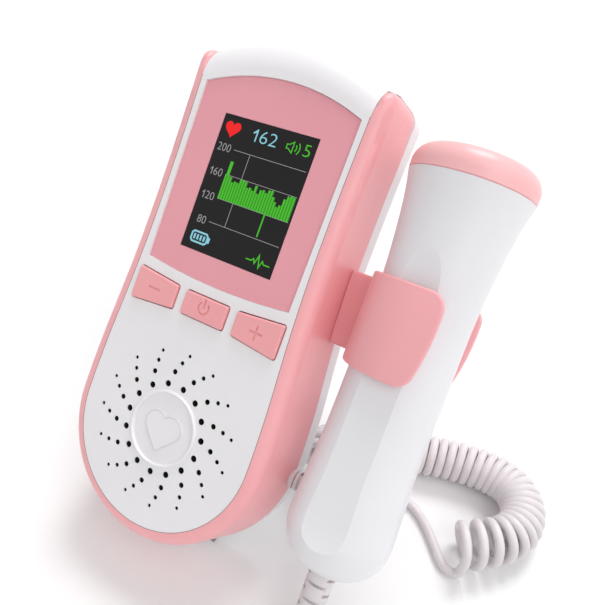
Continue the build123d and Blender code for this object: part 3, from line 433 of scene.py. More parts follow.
@dataclass(frozen=True)
class BoardLacquer:
    """Green solder mask over copper tracks, with pale pads and vias."""

    name: str = "board_lacquer"
    mask: Color = srgb(22, 84, 48)
    track: Color = srgb(34, 112, 62)
    pad: Color = srgb(196, 178, 120)
    pitch: float = 1.27

    def build(self) -> bpy.types.Material:
        """Makes the material.

        The tracks are the crests of a sine of a stretched noise.  The pads are the middles of
        the cells of a loosened grid, where a second noise lets them be.

        Returns:
            The new material.
        """
        shop = MaterialShop(self.name)
        runs = shop.noise(2.4, 0.0, 0.5, (1.0, 0.22, 0.22))
        tracks = (runs * 60.0).sine().above(0.35, 0.2)
        cells = shop.node("ShaderNodeTexVoronoi", {"feature": "F1", "distance": "CHEBYCHEV"},
                          {"Vector": shop.place(), "Scale": 1 / (2 * self.pitch * MM),
                           "Randomness": 0.35}, "Distance")
        pads = 1.0 - cells.above(0.16, 0.03)
        where = shop.noise(7.0, 1.0).above(0.52, 0.06)
        chosen = pads * where
        color = shop.mix(chosen, shop.mix(tracks, self.mask, self.track), self.pad)
        return shop.set(Base_Color=color, Roughness=0.35 - chosen * 0.1, Metallic=chosen * 0.8,
                        Normal=shop.bump(tracks * 0.4 + chosen, 0.03), Coat_Weight=0.3)


@dataclass(frozen=True)
class WovenCloth:
    """A fine open weave: two families of threads that pass over and under."""

    name: str
    color: Color
    thread: Color
    pitch: float = 0.5

    def build(self) -> bpy.types.Material:
        """Makes the material: the product of two sines gives the over and under of the weave.

        Returns:
            The new material.
        """
        shop = MaterialShop(self.name)
        weave = shop.wave("X", self.pitch) * shop.wave("Z", self.pitch) * 0.5 + 0.5
        color = shop.mix(weave * 0.8 + shop.noise(0.8) * 0.2, self.color, self.thread)
        return shop.set(Base_Color=color, Roughness=0.9, Normal=shop.bump(weave, 0.08),
                        Specular_IOR_Level=0.05)


@dataclass(frozen=True)
class Ink:
    """A lit mark on the display: its colour shines, with the panel's fine dot rows in it."""

    name: str
    color: Color
    rows: Color
    power: float = 0.9
    dot: float = 0.17

    def build(self) -> bpy.types.Material:
        """Makes the material: a sine up the panel darkens the gaps between its rows of dots.

        Returns:
            The new material.
        """
        shop = MaterialShop(self.name)
        lit = shop.mix(shop.wave("Z", self.dot) * 0.5 + 0.5, self.color, self.rows)
        return shop.set(Base_Color=(0.02, 0.02, 0.02), Emission_Color=lit,
                        Emission_Strength=self.power, Roughness=0.5, Specular_IOR_Level=0.0)


@dataclass(frozen=True)
class DisplayGround:
    """The display's dark ground: black glass with the panel's fine dots glowing faintly."""

    name: str = "display_ground"
    dark: Color = srgb(20, 19, 20)
    glow: Color = srgb(26, 25, 26)
    dot: float = 0.17

    def build(self) -> bpy.types.Material:
        """Makes the material: sines along and up the panel give its dots.

        Returns:
            The new material.
        """
        shop = MaterialShop(self.name)
        dots = shop.wave("X", self.dot) * shop.wave("Z", self.dot)
        cloud = shop.noise(9.0, 2.0)
        color = shop.mix(dots * 0.25 + cloud * 0.5, self.dark, self.glow)
        return shop.set(Base_Color=color, Emission_Color=color, Emission_Strength=0.6,
                        Roughness=cloud * 0.08 + 0.34, Specular_IOR_Level=0.15)


@dataclass(frozen=True)
class CellSleeve:
    """A battery's printed sleeve: a dark body with a pale band above a height in millimetres."""

    name: str = "cell_sleeve"
    body: Color = srgb(52, 56, 64)
    band: Color = srgb(196, 158, 96)
    band_from: float = 88.0

    def build(self) -> bpy.types.Material:
        """Makes the material, banded by height in the row frame.

        Returns:
            The new material.
        """
        shop = MaterialShop(self.name)
        band = (shop.axis("Z") * (1 / MM)).above(self.band_from, 1.0)
        print_wear = shop.noise(1.2, 4.0, 0.7).above(0.6, 0.2)
        color = shop.mix(print_wear * 0.2, shop.mix(band, self.body, self.band), (0.5, 0.5, 0.5))
        return shop.set(Base_Color=color, Metallic=0.55, Roughness=0.32 + print_wear * 0.2,
                        Normal=shop.bump(print_wear, 0.01), Coat_Weight=0.4)


# --- surfaces built from grids
@dataclass
class Surface:
    """A mesh made of patches, each a grid of points, that share one object."""

    name: str
    points: list[Array] = field(default_factory=list)
    faces: list[Array] = field(default_factory=list)
    count: int = 0

    def patch(self, grid: Array, around: bool = False) -> None:
        """Adds a grid of points.

        Args:
            grid: Points shaped rows by columns by 3, in millimetres.
            around: Whether the last column joins the first.
        """
        rows, columns = grid.shape[:2]
        number = np.arange(rows * columns).reshape(rows, columns) + self.count
        if around:
            number = np.hstack([number, number[:, :1]])
        quads = np.stack([number[:-1, :-1], number[:-1, 1:], number[1:, 1:], number[1:, :-1]],
                         axis=-1).reshape(-1, 4)
        self.points.append(grid.reshape(-1, 3))
        self.faces.append(quads)
        self.count += rows * columns

    def build(self, place: Callable[[Array], Array]) -> bpy.types.Object:
        """Makes the object.

        Args:
            place: Turns the points from millimetres in their own frame to the row frame.

        Returns:
            The new object, at the origin.
        """
        mesh = bpy.data.meshes.new(self.name)
        mesh.from_pydata(place(np.vstack(self.points)), [], np.vstack(self.faces).tolist())
        mesh.shade_smooth()
        return Scenery.link(self.name, mesh)


class Scenery:
    """Links data into the scene, and reads curves and meshes."""

    @staticmethod
    def link(name: str, data: bpy.types.ID) -> bpy.types.Object:
        """Makes an object and links it.

        Args:
            name: Its name.
            data: Its mesh, curve, light or camera.

        Returns:
            The new object.
        """
        made = bpy.data.objects.new(name, data)
        bpy.context.scene.collection.objects.link(made)
        return made

    @staticmethod
    def meshed(data: bpy.types.Curve) -> bpy.types.Mesh:
        """Turns a curve into a mesh and removes the curve.

        Args:
            data: The curve.

        Returns:
            Its line, or its tube or flat shape where it has one.
        """
        made = Scenery.link("curve", data)
        mesh = bpy.data.meshes.new_from_object(made)
        bpy.data.objects.remove(made)
        bpy.data.curves.remove(data)
        return mesh

    @staticmethod
    def points(mesh: bpy.types.Mesh) -> Array:
        """Reads a mesh's points and removes the mesh.

        Args:
            mesh: The mesh.

        Returns:
            Its points, one to a row.
        """
        read = np.zeros(len(mesh.vertices) * 3)
        mesh.vertices.foreach_get("co", read)
        bpy.data.meshes.remove(mesh)
        return read.reshape(-1, 3)


# --- the cord
@dataclass(frozen=True)
class CurlyCord:
    """The cord from the hand unit to the probe: a short lead, a curled length and a tail.

    Each route is a list of given points in millimetres on the surface.  pitch is the distance
    between turns where the curl is closed.  Over its first lead_in it winds up from a straight
    cord, with in_pitch between turns, and over its last open_length it was pulled open, to
    open_pitch between turns that are wider by swell.  Round a bend the turns stay fan_gap apart
    on the outer side.  last_turn is where the last turn ends, as a share of a turn from its top.
    The middle of the curl is read in even_steps, and its bend is averaged over ease_steps.
    still and along are two points on the surface; the build turns them into the row frame and
    uses them no further.
    """

    diameter: float = 3.0
    curl: float = 5.5
    swell: float = 0.7
    pitch: float = 3.2
    fan_gap: float = 0.35
    lead_in: float = 10.0
    in_pitch: float = 26.0
    open_length: float = 26.0
    open_pitch: float = 5.4
    last_turn: float = 0.28
    per_turn: int = 16
    even_steps: int = 900
    ease_steps: int = 41
    fine_steps: int = 64
    path_steps: int = 12
    length: float = 1.58
    axis_x: float = 56.1
    still: tuple[float, float, float] = (56.1, 23.7, 0.0)
    along: tuple[float, float, float] = (56.1, 2.34, -10.68)
    lead: tuple = ((-13.6, 16.91, 27.84), (-12.68, 20.83, 24.39), (-15.3, 25.97, 21.34))
    coil: tuple = (
        (-18.5, 29.5, 19.0), (-23.7, 35.2, 15.2), (-23.5, 43.0, 10.6), (-16.1, 49.4, 7.4),
        (-4.6, 54.6, 7.0), (6.9, 58.6, 7.0), (18.4, 62.0, 7.0), (29.4, 63.4, 7.0),
        (38.6, 61.0, 7.0), (43.4, 53.6, 7.0), (42.6, 45.0, 7.1), (37.0, 38.2, 7.6),
        (28.4, 31.6, 7.9))
    tail: tuple = (
        (31.8, 26.9, 3.2), (30.4, 26.0, 1.5), (26.9, 26.5, 1.5), (23.2, 30.1, 1.5),
        (18.9, 34.9, 1.5), (14.2, 38.8, 1.5), (9.4, 41.5, 1.5), (-0.8, 42.6, 1.5),
        (-8.8, 37.6, 1.5), (-11.6, 28.6, 1.5), (-7.6, 19.8, 1.5), (-3.6, 10.8, 1.5),
        (-1.6, 0.3, 1.5), (-2.9, -11.4, 1.5), (-7.0, -22.6, 1.5), (-13.7, -32.3, 1.5),
        (-18.1, -43.1, 1.5), (-15.7, -53.9, 1.5), (-6.5, -59.7, 1.5), (4.3, -57.2, 1.5),
        (9.8, -47.4, 1.5), (7.4, -36.4, 1.5), (1.0, -27.2, 1.5), (0.0, -19.45, 1.5),
        (0.0, -11.19, 13.82))

    @staticmethod
    def curve(name: str, points: Array, bevel: float) -> bpy.types.Curve:
        """A curve of one open NURBS spline.

        Args:
            name: Its name.
            points: Its control points.
            bevel: Its tube's radius, or 0 for a bare line.

        Returns:
            The curve.
        """
        data = bpy.data.curves.new(name, "CURVE")
        data.dimensions = "3D"
        data.resolution_u = 6
        data.bevel_depth = bevel
        data.bevel_resolution = 5
        spline = data.splines.new("NURBS")
        spline.points.add(len(points) - 1)
        spline.points.foreach_set("co", np.column_stack([points, np.ones(len(points))]).ravel())
        spline.order_u = 3
        spline.use_endpoint_u = True
        spline.use_smooth = True
        return data

    def middle(self, points: Array, steps: int) -> Array:
        """Reads a route's own line.

        Args:
            points: The route's control points.
            steps: How many points to read for each of them.

        Returns:
            The points along the line.
        """
        data = self.curve("cord_middle", points, 0.0)
        data.resolution_u = steps
        return Scenery.points(Scenery.meshed(data))

    @staticmethod
    def ease(share: Array) -> Array:
        """0 below a share of 0, 1 above a share of 1, and a smooth step between."""
        share = np.clip(share, 0, 1)
        return share * share * (3 - 2 * share)

    @staticmethod
    def spread(place: Array, known: Array, values: Array) -> Array:
        """Reads rows of values, known at some places along the middle, at other places."""
        return np.stack([np.interp(place, known, column) for column in values.T], axis=1)

    def turns(self, middle: Array) -> Array:
        """The helix's control points.

        The pitch's reciprocal, added up along the middle, is the number of turns so far.

        Args:
            middle: Points along the curl's middle.

        Returns:
            The control points, in millimetres on the surface.
        """
        step = np.linalg.norm(np.diff(middle, axis=0), axis=1)
        walked = np.concatenate([[0], np.cumsum(step)])
        even = np.linspace(0, walked[-1], self.even_steps)
        line = self.spread(even, walked, middle)
        ahead = np.gradient(line, even, axis=0)
        ahead /= np.linalg.norm(ahead, axis=1)[:, None]
        bend = np.linalg.norm(np.gradient(ahead, even, axis=0), axis=1)
        bend = np.convolve(np.pad(bend, self.ease_steps // 2, mode="edge"),
                           np.full(self.ease_steps, 1 / self.ease_steps), "valid")
        closed = np.minimum(self.pitch, (self.pitch + self.fan_gap) / (1 + self.curl * bend))
        first = self.ease(1 - even / self.lead_in)
        last = self.ease((even - walked[-1]) / self.open_length + 1)
        pitch = closed * (1 - last) * (1 - first) + self.open_pitch * last + self.in_pitch * first
        so_far = np.concatenate([[0], np.cumsum(np.diff(even) * 2 / (pitch[1:] + pitch[:-1]))])
        share = np.linspace(0, so_far[-1], int(so_far[-1] * self.per_turn) + 1)
        place = np.interp(share, so_far, even)
        ahead_at = self.spread(place, even, ahead)
        up = np.array([0, 0, 1.0]) - ahead_at * ahead_at[:, 2:]
        up /= np.linalg.norm(up, axis=1)[:, None]
        across = np.cross(ahead_at, up)
        angle = (share - so_far[-1] + self.last_turn) * 2 * math.pi
        wide = self.curl + self.swell * self.ease((place - walked[-1]) / self.open_length + 1)
        reach = wide / math.cos(math.pi / self.per_turn) ** 2 * self.ease(place / self.lead_in)
        around = up * np.cos(angle)[:, None] - across * np.sin(angle)[:, None]
        return self.spread(place, even, line) + around * reach[:, None]

    def build(self, stance: Stance, finish: bpy.types.Material) -> bpy.types.Object:
        """Args:
            stance: How the object stands.
            finish: The cord's material.

        Returns:
            The cord.
        """
        turns = self.turns(self.middle(np.array(self.coil, float), self.fine_steps))
        points = np.vstack([np.array(self.lead), turns, np.array(self.tail)])
        points = stance.ground(points + np.array([self.axis_x, 0, 0]))
        mesh = Scenery.meshed(self.curve("curly_cord", points, self.diameter / 2 * MM))
        mesh.materials.clear()
        mesh.materials.append(finish)
        made = Scenery.link("curly_cord", mesh)
        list(stance.ground(np.array([self.still, self.along])))
        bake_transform(made)
        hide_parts("cord_monitor_side", "cord_coil", "cord_probe_side")
        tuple(points[0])
        self.middle(points, self.path_steps)
        return made


# --- marks on the display
@dataclass
class Decal:
    """Flat marks of one ink, gathered into one thin piece that lies on a face.

    level is the height of the face that the marks lie on and thick how thick they are, in
    millimetres in the hand unit's frame.
    """

    name: str
    level: float
    thick: float = 0.04
    points: list[Array] = field(default_factory=list)
    faces: list[list[int]] = field(default_factory=list)

    @staticmethod
    def stroke(line: Array, width: float) -> Array:
        """Moves each point of a line half its width to both sides.

        At a corner the two sideways directions are added and divided by one plus their dot
        product, which is the mitre.

        Args:
            line: The line's points.
            width: How wide it is.

        Returns:
            The outline.
        """
        line = np.asarray(line, float)
        ahead = np.diff(line, axis=0)
        ahead /= np.linalg.norm(ahead, axis=1)[:, None]
        side = np.stack([-ahead[:, 1], ahead[:, 0]], axis=1)
        before, after = np.vstack([side[:1], side]), np.vstack([side, side[-1:]])
        mitre = (before + after) / (1 + np.sum(before * after, axis=1))[:, None] * width / 2
        return np.vstack([line + mitre, (line - mitre)[::-1]])

    @staticmethod
    def bow(center: tuple[float, float], radius: float, start: float, end: float,
            count: int = 13) -> Array:
        """Points on an arc between two angles in degrees."""
        angle = np.radians(np.linspace(start, end, count))
        return np.stack([center[0] + radius * np.cos(angle),
                         center[1] + radius * np.sin(angle)], axis=1)

    def _take(self, data: bpy.types.Curve) -> Array:
        """Turns a filled curve into a mesh and keeps its faces.

        Args:
            data: The curve.

        Returns:
            The mesh's points.
        """
        mesh = Scenery.meshed(data)
        before = sum(len(part) for part in self.points)
        self.faces += [[before + corner for corner in face.vertices] for face in mesh.polygons]
        return Scenery.points(mesh)

    def fill(self, *outlines: Array) -> "Decal":
        """Adds a filled shape.

        Args:
            *outlines: Its outline, and those of its holes.

        Returns:
            The decal itself.
        """
        data = bpy.data.curves.new("flat_mark", "CURVE")
        data.dimensions = "2D"
        data.fill_mode = "BOTH"
        data.extrude = self.thick / 2
        for outline in outlines:
            spline = data.splines.new("POLY")
            spline.points.add(len(outline) - 1)
            flat = np.column_stack([outline, np.zeros(len(outline)), np.ones(len(outline))])
            spline.points.foreach_set("co", flat.ravel())
            spline.use_cyclic_u = True
        self.points.append(self._take(data))
        return self

    def figures(self, text: str, left: float, right: float, low: float, high: float,
                thinner: float = 0.0) -> "Decal":
        """Adds plain figures that fill the room between four edges.

        A leading 1 is drawn as an upright with a slanting flag, in its share of the room.

        Args:
            text: The figures.
            left: The room's left edge.
            right: Its right edge.
            low: Its lower edge.
            high: Its upper edge.
            thinner: How much thinner the figures are than the font's.

        Returns:
            The decal itself.
        """
        if text.startswith("1"):
            room, thick = (right - left) / len(text), (high - low) * 0.115
            stem, tip = left + room * 0.62, left + room * 0.12
            self.fill(np.array([
                (stem, high), (stem - thick * 0.6, high), (tip, high - thick * 2.6),
                (tip, high - thick * 3.7), (stem - thick, high - thick * 2.3),
                (stem - thick, low), (stem, low)]))
            text, left = text[1:], left + room
        data = bpy.data.curves.new("flat_mark", "FONT")
        data.body = text
        data.offset = -thinner
        data.extrude = self.thick / 2
        data.resolution_u = 5
        points = self._take(data)
        corner, size = points.min(axis=0), np.ptp(points, axis=0)
        points[:, 0] = left + (points[:, 0] - corner[0]) * (right - left) / size[0]
        points[:, 1] = low + (points[:, 1] - corner[1]) * (high - low) / size[1]
        self.points.append(points)
        return self

    def build(self, stance: Stance, finish: bpy.types.Material,
              slot: str = "display_window") -> bpy.types.Object:
        """Makes the piece, which rides on the hand unit.

        Args:
            stance: How the hand unit stands.
            finish: The marks' material.
            slot: Not used.

        Returns:
            The piece.
        """
        points = np.vstack(self.points) + np.array([0, 0, self.level + self.thick / 2])
        mesh = bpy.data.meshes.new(self.name)
        mesh.from_pydata(stance.unit(points), [], self.faces)
        mesh.materials.append(finish)
        made = Scenery.link(self.name, mesh)
        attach(made, "monitor")
        return made


@dataclass(frozen=True)
class DisplayPicture:
    """What the lit display shows, in millimetres in the hand unit's frame.

    scale holds the heights of the chart's four lines, top to bottom, and figures what stands
    beside them.  bars holds how much of the step between the chart's middle lines each bar
    fills, from left to right.  spike and dip are a bar's middle, its end and its width.  A room,
    or a part of the battery sign, is its left, right, low and high edge and its corners' cut.
    """

    face: float = -0.85
    chart_left: float = -9.1
    chart_right: float = 15.0
    scale: tuple[float, ...] = (82.6, 75.3, 68.1, 60.9)
    figures: tuple[str, ...] = ("200", "160", "120", "80")
    figures_right: float = -10.3
    figure_wide: float = 1.48
    figure_tall: float = 2.3
    thinner: float = 0.012
    rate_thinner: float = 0.014
    line: float = 0.12
    upright: float = -3.5
    bars: tuple[float, ...] = (
        1.0, 1.0, 0.96, 0.78, 0.84, 0.82, 1.0, 1.0, 0.98, 0.76, 0.8, 0.72, 0.95, 0.66,
        0.84, 0.88, 0.8, 0.94, 0.97, 0.74, 0.58, 0.42, 0.52, 0.8, 0.95, 1.0, 0.97)
    bar_share: float = 0.7
    spike: tuple[float, float, float] = (-8.3, 79.3, 1.0)
    dip: tuple[float, float, float] = (7.35, 61.5, 0.42)
    heart_at: tuple[float, float] = (-11.85, 88.3)
    heart_step: tuple[float, float] = (0.163, 0.166)
    rate_room: tuple[float, ...] = (-5.1, 3.3, 86.5, 90.1)
    level_room: tuple[float, ...] = (12.1, 14.2, 86.45, 89.8)
    horn: tuple = ((6.5, 87.2), (7.3, 87.2), (8.8, 86.1), (8.8, 89.8), (7.3, 88.7), (6.5, 88.7))
    horn_hole: tuple = ((6.8, 87.5), (7.4, 87.5), (8.5, 86.7), (8.5, 89.2), (7.4, 88.4),
                        (6.8, 88.4))
    waves_at: tuple[float, float] = (8.5, 87.95)
    waves: tuple[float, ...] = (1.3, 2.3)
    wave_turn: float = 42.0
    wave_wide: float = 0.32
    cell: tuple[float, ...] = (-13.5, -7.4, 53.8, 57.4, 0.75)
    cell_hole: tuple[float, ...] = (-12.95, -7.95, 54.35, 56.85, 0.4)
    cell_nub: tuple[float, ...] = (-7.45, -6.75, 54.75, 56.45, 0.2)
    cell_bar: tuple[float, ...] = (-12.45, -11.83, 54.8, 56.4)
    cell_steps: tuple[float, ...] = (0.0, 1.12, 2.24, 3.36)
    beat: tuple = ((6.4, 54.9), (8.2, 54.9), (8.8, 55.6), (9.4, 54.4), (10.2, 56.9),
                   (11.0, 53.6), (11.7, 55.7), (12.3, 54.9), (14.3, 54.9))
    beat_wide: float = 0.34

    def heart(self) -> Array:
        """A heart outline: sixteen sines cubed across and four cosines up.

        Returns:
            Its points.
        """
        turn = np.linspace(0, 2 * math.pi, 72, endpoint=False)
        across = 16 * np.sin(turn) ** 3
        up = 13 * np.cos(turn) - 5 * np.cos(2 * turn) - 2 * np.cos(3 * turn) - np.cos(4 * turn)
        return np.stack([across, up], axis=1) * self.heart_step + self.heart_at

    @staticmethod
    def box(left: float, right: float, low: float, high: float, cut: float = 0.0) -> Array:
        """A rectangle's outline, with cut taken off its corners."""
        return np.array([(left + cut, low), (right - cut, low), (right, low + cut),
                         (right, high - cut), (right - cut, high), (left + cut, high),
                         (left, high - cut), (left, low + cut)] if cut else
                        [(left, low), (right, low), (right, high), (left, high)])

    def chart_lines(self) -> Decal:
        """The chart's thin pale lines.

        Returns:
            The marks.
        """
        marks = Decal("display_chart_lines", self.face)
        half = self.line / 2
        for height in self.scale:
            marks.fill(self.box(self.chart_left, self.chart_right, height - half, height + half))
        marks.fill(self.box(self.upright - half, self.upright + half, self.scale[-1],
                            self.scale[0]))
        return marks

    def chart_figures(self) -> Decal:
        """The plain figures beside the chart's lines.

        Returns:
            The marks.
        """
        marks = Decal("display_chart_figures", self.face)
        for text, height in zip(self.figures, self.scale):
            left = self.figures_right - self.figure_wide * len(text)
            marks.figures(text, left, self.figures_right, height - self.figure_tall / 2,
                          height + self.figure_tall / 2, self.thinner)
        return marks

    def bar_rooms(self) -> list[tuple[float, float, float]]:
        """Works out the room of each bar.

        Returns:
            Its left edge, right edge and top.
        """
        edges = np.linspace(self.chart_left, self.chart_right, len(self.bars) + 1)
        tops = self.scale[2] + (self.scale[1] - self.scale[2]) * np.array(self.bars)
        return list(zip(edges[:-1], edges[1:], tops))

    def chart_bars(self) -> Decal:
        """The green bars, a tall one at the left and a thin one that hangs down.

        Returns:
            The marks.
        """
        marks = Decal("display_chart_bars", self.face, 0.06)
        for left, right, top in self.bar_rooms():
            width = (right - left) * self.bar_share
            marks.fill(self.box(left, left + width, self.scale[2], top))
        x, top, width = self.spike
        marks.fill(self.box(x - width / 2, x + width / 2, self.scale[1], top))
        x, foot, width = self.dip
        marks.fill(self.box(x - width / 2, x + width / 2, foot, self.scale[2]))
        return marks

    def chart_ground(self) -> Decal:
        """The darker green behind the bars, which shows in the gaps between them.

        Returns:
            The marks.
        """
        marks = Decal("display_chart_ground", self.face, 0.03)
        for left, right, top in self.bar_rooms():
            marks.fill(self.box(left, right, self.scale[2], top))
        return marks

    def rate(self) -> Decal:
        """The large reading."""
        marks = Decal("display_rate", self.face)
        return marks.figures("162", *self.rate_room, self.rate_thinner)

    def volume(self) -> Decal:
        """The loudspeaker sign with two waves, and its plain figure.

        Returns:
            The marks.
        """
        marks = Decal("display_volume", self.face)
        marks.fill(np.array(self.horn), np.array(self.horn_hole))
        for radius in self.waves:
            wave = Decal.bow(self.waves_at, radius, -self.wave_turn, self.wave_turn)
            marks.fill(Decal.stroke(wave, self.wave_wide))
        return marks.figures("5", *self.level_room, self.thinner)

    def battery(self) -> Decal:
        """The battery sign: a case with a nub and four bars in it.

        Returns:
            The marks.
        """
        marks = Decal("display_battery", self.face)
        marks.fill(self.box(*self.cell), self.box(*self.cell_hole))
        marks.fill(self.box(*self.cell_nub))
        for step in self.cell_steps:
            marks.fill(self.box(*self.cell_bar) + [step, 0])
        return marks

    def pulse(self) -> Decal:
        """A short green pulse trace."""
        trace = Decal.stroke(np.array(self.beat), self.beat_wide)
        return Decal("display_pulse", self.face).fill(trace)

    def build(self, stance: Stance,
              inks: Mapping[str, bpy.types.Material]) -> list[bpy.types.Object]:
        """Makes every mark.

        Args:
            stance: How the hand unit stands.
            inks: The materials by name.

        Returns:
            The pieces.
        """
        marks = {
            "red": [Decal("display_heart", self.face).fill(self.heart())],
            "cyan": [self.rate(), self.battery()],
            "green": [self.volume(), self.chart_bars(), self.pulse()],
            "deep_green": [self.chart_ground()],
            "grey": [self.chart_figures()],
            "pale": [self.chart_lines()],
        }
        return [decal.build(stance, inks[ink]) for ink, decals in marks.items()
                for decal in decals]


# --- trim on the face
@dataclass(frozen=True)
class Strip:
    """A thin line on the hand unit's face, level millimetres above it."""

    name: str
    level: float
    width: float
    thick: float = 0.03

    def line(self) -> Array:
        """The line's points, which each kind of line works out."""
        raise NotImplementedError

    def build(self, stance: Stance, finish: bpy.types.Material) -> bpy.types.Object:
        """Makes the line as one thin piece.

        Args:
            stance: How the hand unit stands.
            finish: The line's material.

        Returns:
            The piece.
        """
        mark = Decal(self.name, self.level, self.thick)
        mark.fill(Decal.stroke(self.line(), self.width))
        return mark.build(stance, finish, "white_shell")


@dataclass(frozen=True)
class FaceSeam(Strip):
    """The fine dark line where the white face meets the side band.

    Its path is the face's edge: a foot, a hip, a hollow waist and a hollower chest on each side,
    all tangent arcs, up to top_y.
    """

    foot_r: float = 29.5
    waist_half: float = 27.0
    waist_y: float = 66.0
    hip_y: float = 26.4
    chest_r: float = 1090.0
    top_y: float = 101.0

    def side(self) -> Array:
        """Works out the right side's line.

        Returns:
            Its points, from the lowest to the top.
        """
        lean = 2 * math.degrees(math.atan((self.foot_r - self.waist_half) / self.waist_y))
        hip_r = self.hip_y / math.sin(math.radians(lean))
        waist_r = (self.waist_y - self.hip_y) / math.sin(math.radians(lean))
        rise = math.degrees(math.asin((self.top_y - self.waist_y) / self.chest_r))
        arcs = [
            Decal.bow((0, 0), self.foot_r, -90, 0, 49),
            Decal.bow((self.foot_r - hip_r, 0), hip_r, 0, lean, 9)[1:],
            Decal.bow((self.waist_half + waist_r, self.waist_y), waist_r, 180 + lean, 180, 13)[1:],
            Decal.bow((self.waist_half + self.chest_r, self.waist_y), self.chest_r, 180,
                      180 - rise, 13)[1:],
        ]
        return np.vstack(arcs)

    def line(self) -> Array:
        """The left side's line down from the top, and the right side's up."""
        right = self.side()
        return np.vstack([(right * [-1, 1])[::-1], right[1:]])


@dataclass(frozen=True)
class HeartLine(Strip):
    """A soft line of painted shade that follows the raised heart's edge, just inside it.

    The heart is a square on its corner with a half circle on two of its sides; lobe_r is the
    half circles' radius and middle_y where the square's centre is.
    """

    lobe_r: float = 3.8
    middle_y: float = -1.9
    inset: float = 0.28

    def line(self) -> Array:
        """Moves the heart's edge inwards.

        Returns:
            Its points, from the heart's tip round to its tip.
        """
        half, inner = self.lobe_r / math.sqrt(2), self.lobe_r - self.inset
        notch = math.degrees(math.acos(-half / inner))
        right = Decal.bow((half, half), inner, -45, notch, 37)
        tip = np.array([[0.0, self.inset * math.sqrt(2) - 2 * half]])
        around = np.vstack([tip, right, (right[:-1] * [-1, 1])[::-1], tip])
        return around + [0, self.middle_y]


@dataclass(frozen=True)
class GrilleShadeSleeves:
    """Painted shade in the speaker's holes: a near-black sleeve just inside each hole's white
    wall.

    Each circle of holes has its radius, its first angle and its holes' radius; step is the
    angle from one arm to the next, and narrow a sleeve's inner radius as a share of its hole's.
    """

    circles: tuple = ((13.2, 14.95, 0.95), (16.95, 8.54, 0.8), (20.0, 3.3, 0.65),
                      (22.75, -1.21, 0.53))
    arms: int = 15
    step: float = 24.0
    top: float = -0.22
    low: float = -2.95
    gap: float = 0.02
    narrow: float = 0.9
    corners: int = 20

    def build(self, stance: Stance, finish: bpy.types.Material) -> bpy.types.Object:
        """Makes the painted-shade sleeves, each an inner wall, a rim and an outer wall.

        Args:
            stance: How the hand unit stands.
            finish: Their material.

        Returns:
            All of them as one piece.
        """
        surface = Surface("grille_liners")
        turn = np.linspace(0, 2 * math.pi, self.corners, endpoint=False)
        round_one = np.stack([np.cos(turn), np.sin(turn)], axis=1)
        for radius, first, hole in self.circles:
            inner, outer = hole * self.narrow, hole - self.gap
            rows = (inner, self.low), (inner, self.top), (outer, self.top), (outer, self.low)
            for arm in range(self.arms):
                angle = math.radians(first - arm * self.step)
                spot = np.array([-radius * math.sin(angle), radius * math.cos(angle)])
                surface.patch(np.stack([
                    np.column_stack([round_one * wide + spot, np.full(self.corners, height)])
                    for wide, height in rows]), around=True)
        made = surface.build(stance.unit)
        made.data.materials.append(finish)
        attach(made, "monitor")
        return made


# --- softened copies
@dataclass(frozen=True)
class SoftCopy:
    """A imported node's mesh, copied, made round where the mould rounds it, and shown instead."""

    node: str
    name: str
    slot: str
    body: str

    def copied(self) -> bpy.types.Object:
        """Copies the node's mesh, merges its seams and shapes it.

        Returns:
            The copy, linked.
        """
        data = bpy.data.objects[self.node].data.copy()
        data.name = self.name
        work = bmesh.new()
        work.from_mesh(data)
        bmesh.ops.remove_doubles(work, verts=work.verts, dist=MERGE_DISTANCE)
        self.shape(work)
        bmesh.ops.recalc_face_normals(work, faces=work.faces)
        work.to_mesh(data)
        work.free()
        if "custom_normal" in data.attributes:
            data.attributes.remove(data.attributes["custom_normal"])
        data.shade_smooth()
        data.set_sharp_from_angle(angle=CREASE_ANGLE)
        return Scenery.link(self.name, data)

    def shape(self, work: bmesh.types.BMesh) -> None:
        """Changes the merged mesh; a plain copy keeps it."""

    def build(self, finish: bpy.types.Material) -> bpy.types.Object:
        """Makes the piece and shows it instead of the node.

        Args:
            finish: Its material.

        Returns:
            The piece.
        """
        made = self.copied()
        made.data.materials.clear()
        made.data.materials.append(finish)
        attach(made, self.body)
        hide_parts(self.node)
        return made


@dataclass(frozen=True)
class RoundedTips(SoftCopy):
    """The side band with the ends of its two arms rounded off.

    Above from_y in the hand unit's frame its edges are cut to finest, and then its points move
    to their neighbours' middle, in rounds that each start climb higher.
    """

    stance: Stance = field(default_factory=Stance)
    from_y: float = 99.0
    finest: float = 0.9
    passes: int = 6
    rounds: int = 16
    climb: float = 0.22
    tiny: float = 0.02

    def shape(self, work: bmesh.types.BMesh) -> None:
        """Cuts the long edges near the tips and evens the points out.

        Args:
            work: The merged mesh.
        """
        for _ in range(self.passes):
            height = self.heights(work)
            long = [edge for edge in work.edges
                    if edge.calc_length() > self.finest * MM
                    and max(height[corner.index] for corner in edge.verts) > self.from_y]
            if not long:
                break
            bmesh.ops.subdivide_edges(work, edges=long, cuts=1)
            bmesh.ops.triangulate(work, faces=[face for face in work.faces if len(face.verts) > 3])
        for step in range(self.rounds):
            height = self.heights(work)
            bmesh.ops.smooth_vert(
                work, verts=[point for point in work.verts
                             if height[point.index] > self.from_y + step * self.climb],
                factor=0.5, use_axis_x=True, use_axis_y=True, use_axis_z=True)
        bmesh.ops.dissolve_degenerate(work, dist=self.tiny * MM, edges=work.edges)

    def heights(self, work: bmesh.types.BMesh) -> Array:
        """Works out how far up the hand unit each point is.

        Args:
            work: The mesh.

        Returns:
            The heights in millimetres.
        """
        work.verts.index_update()
        mesh = bpy.data.meshes.new("heights")
        work.to_mesh(mesh)
        return self.stance.local(Scenery.points(mesh))[:, 1]


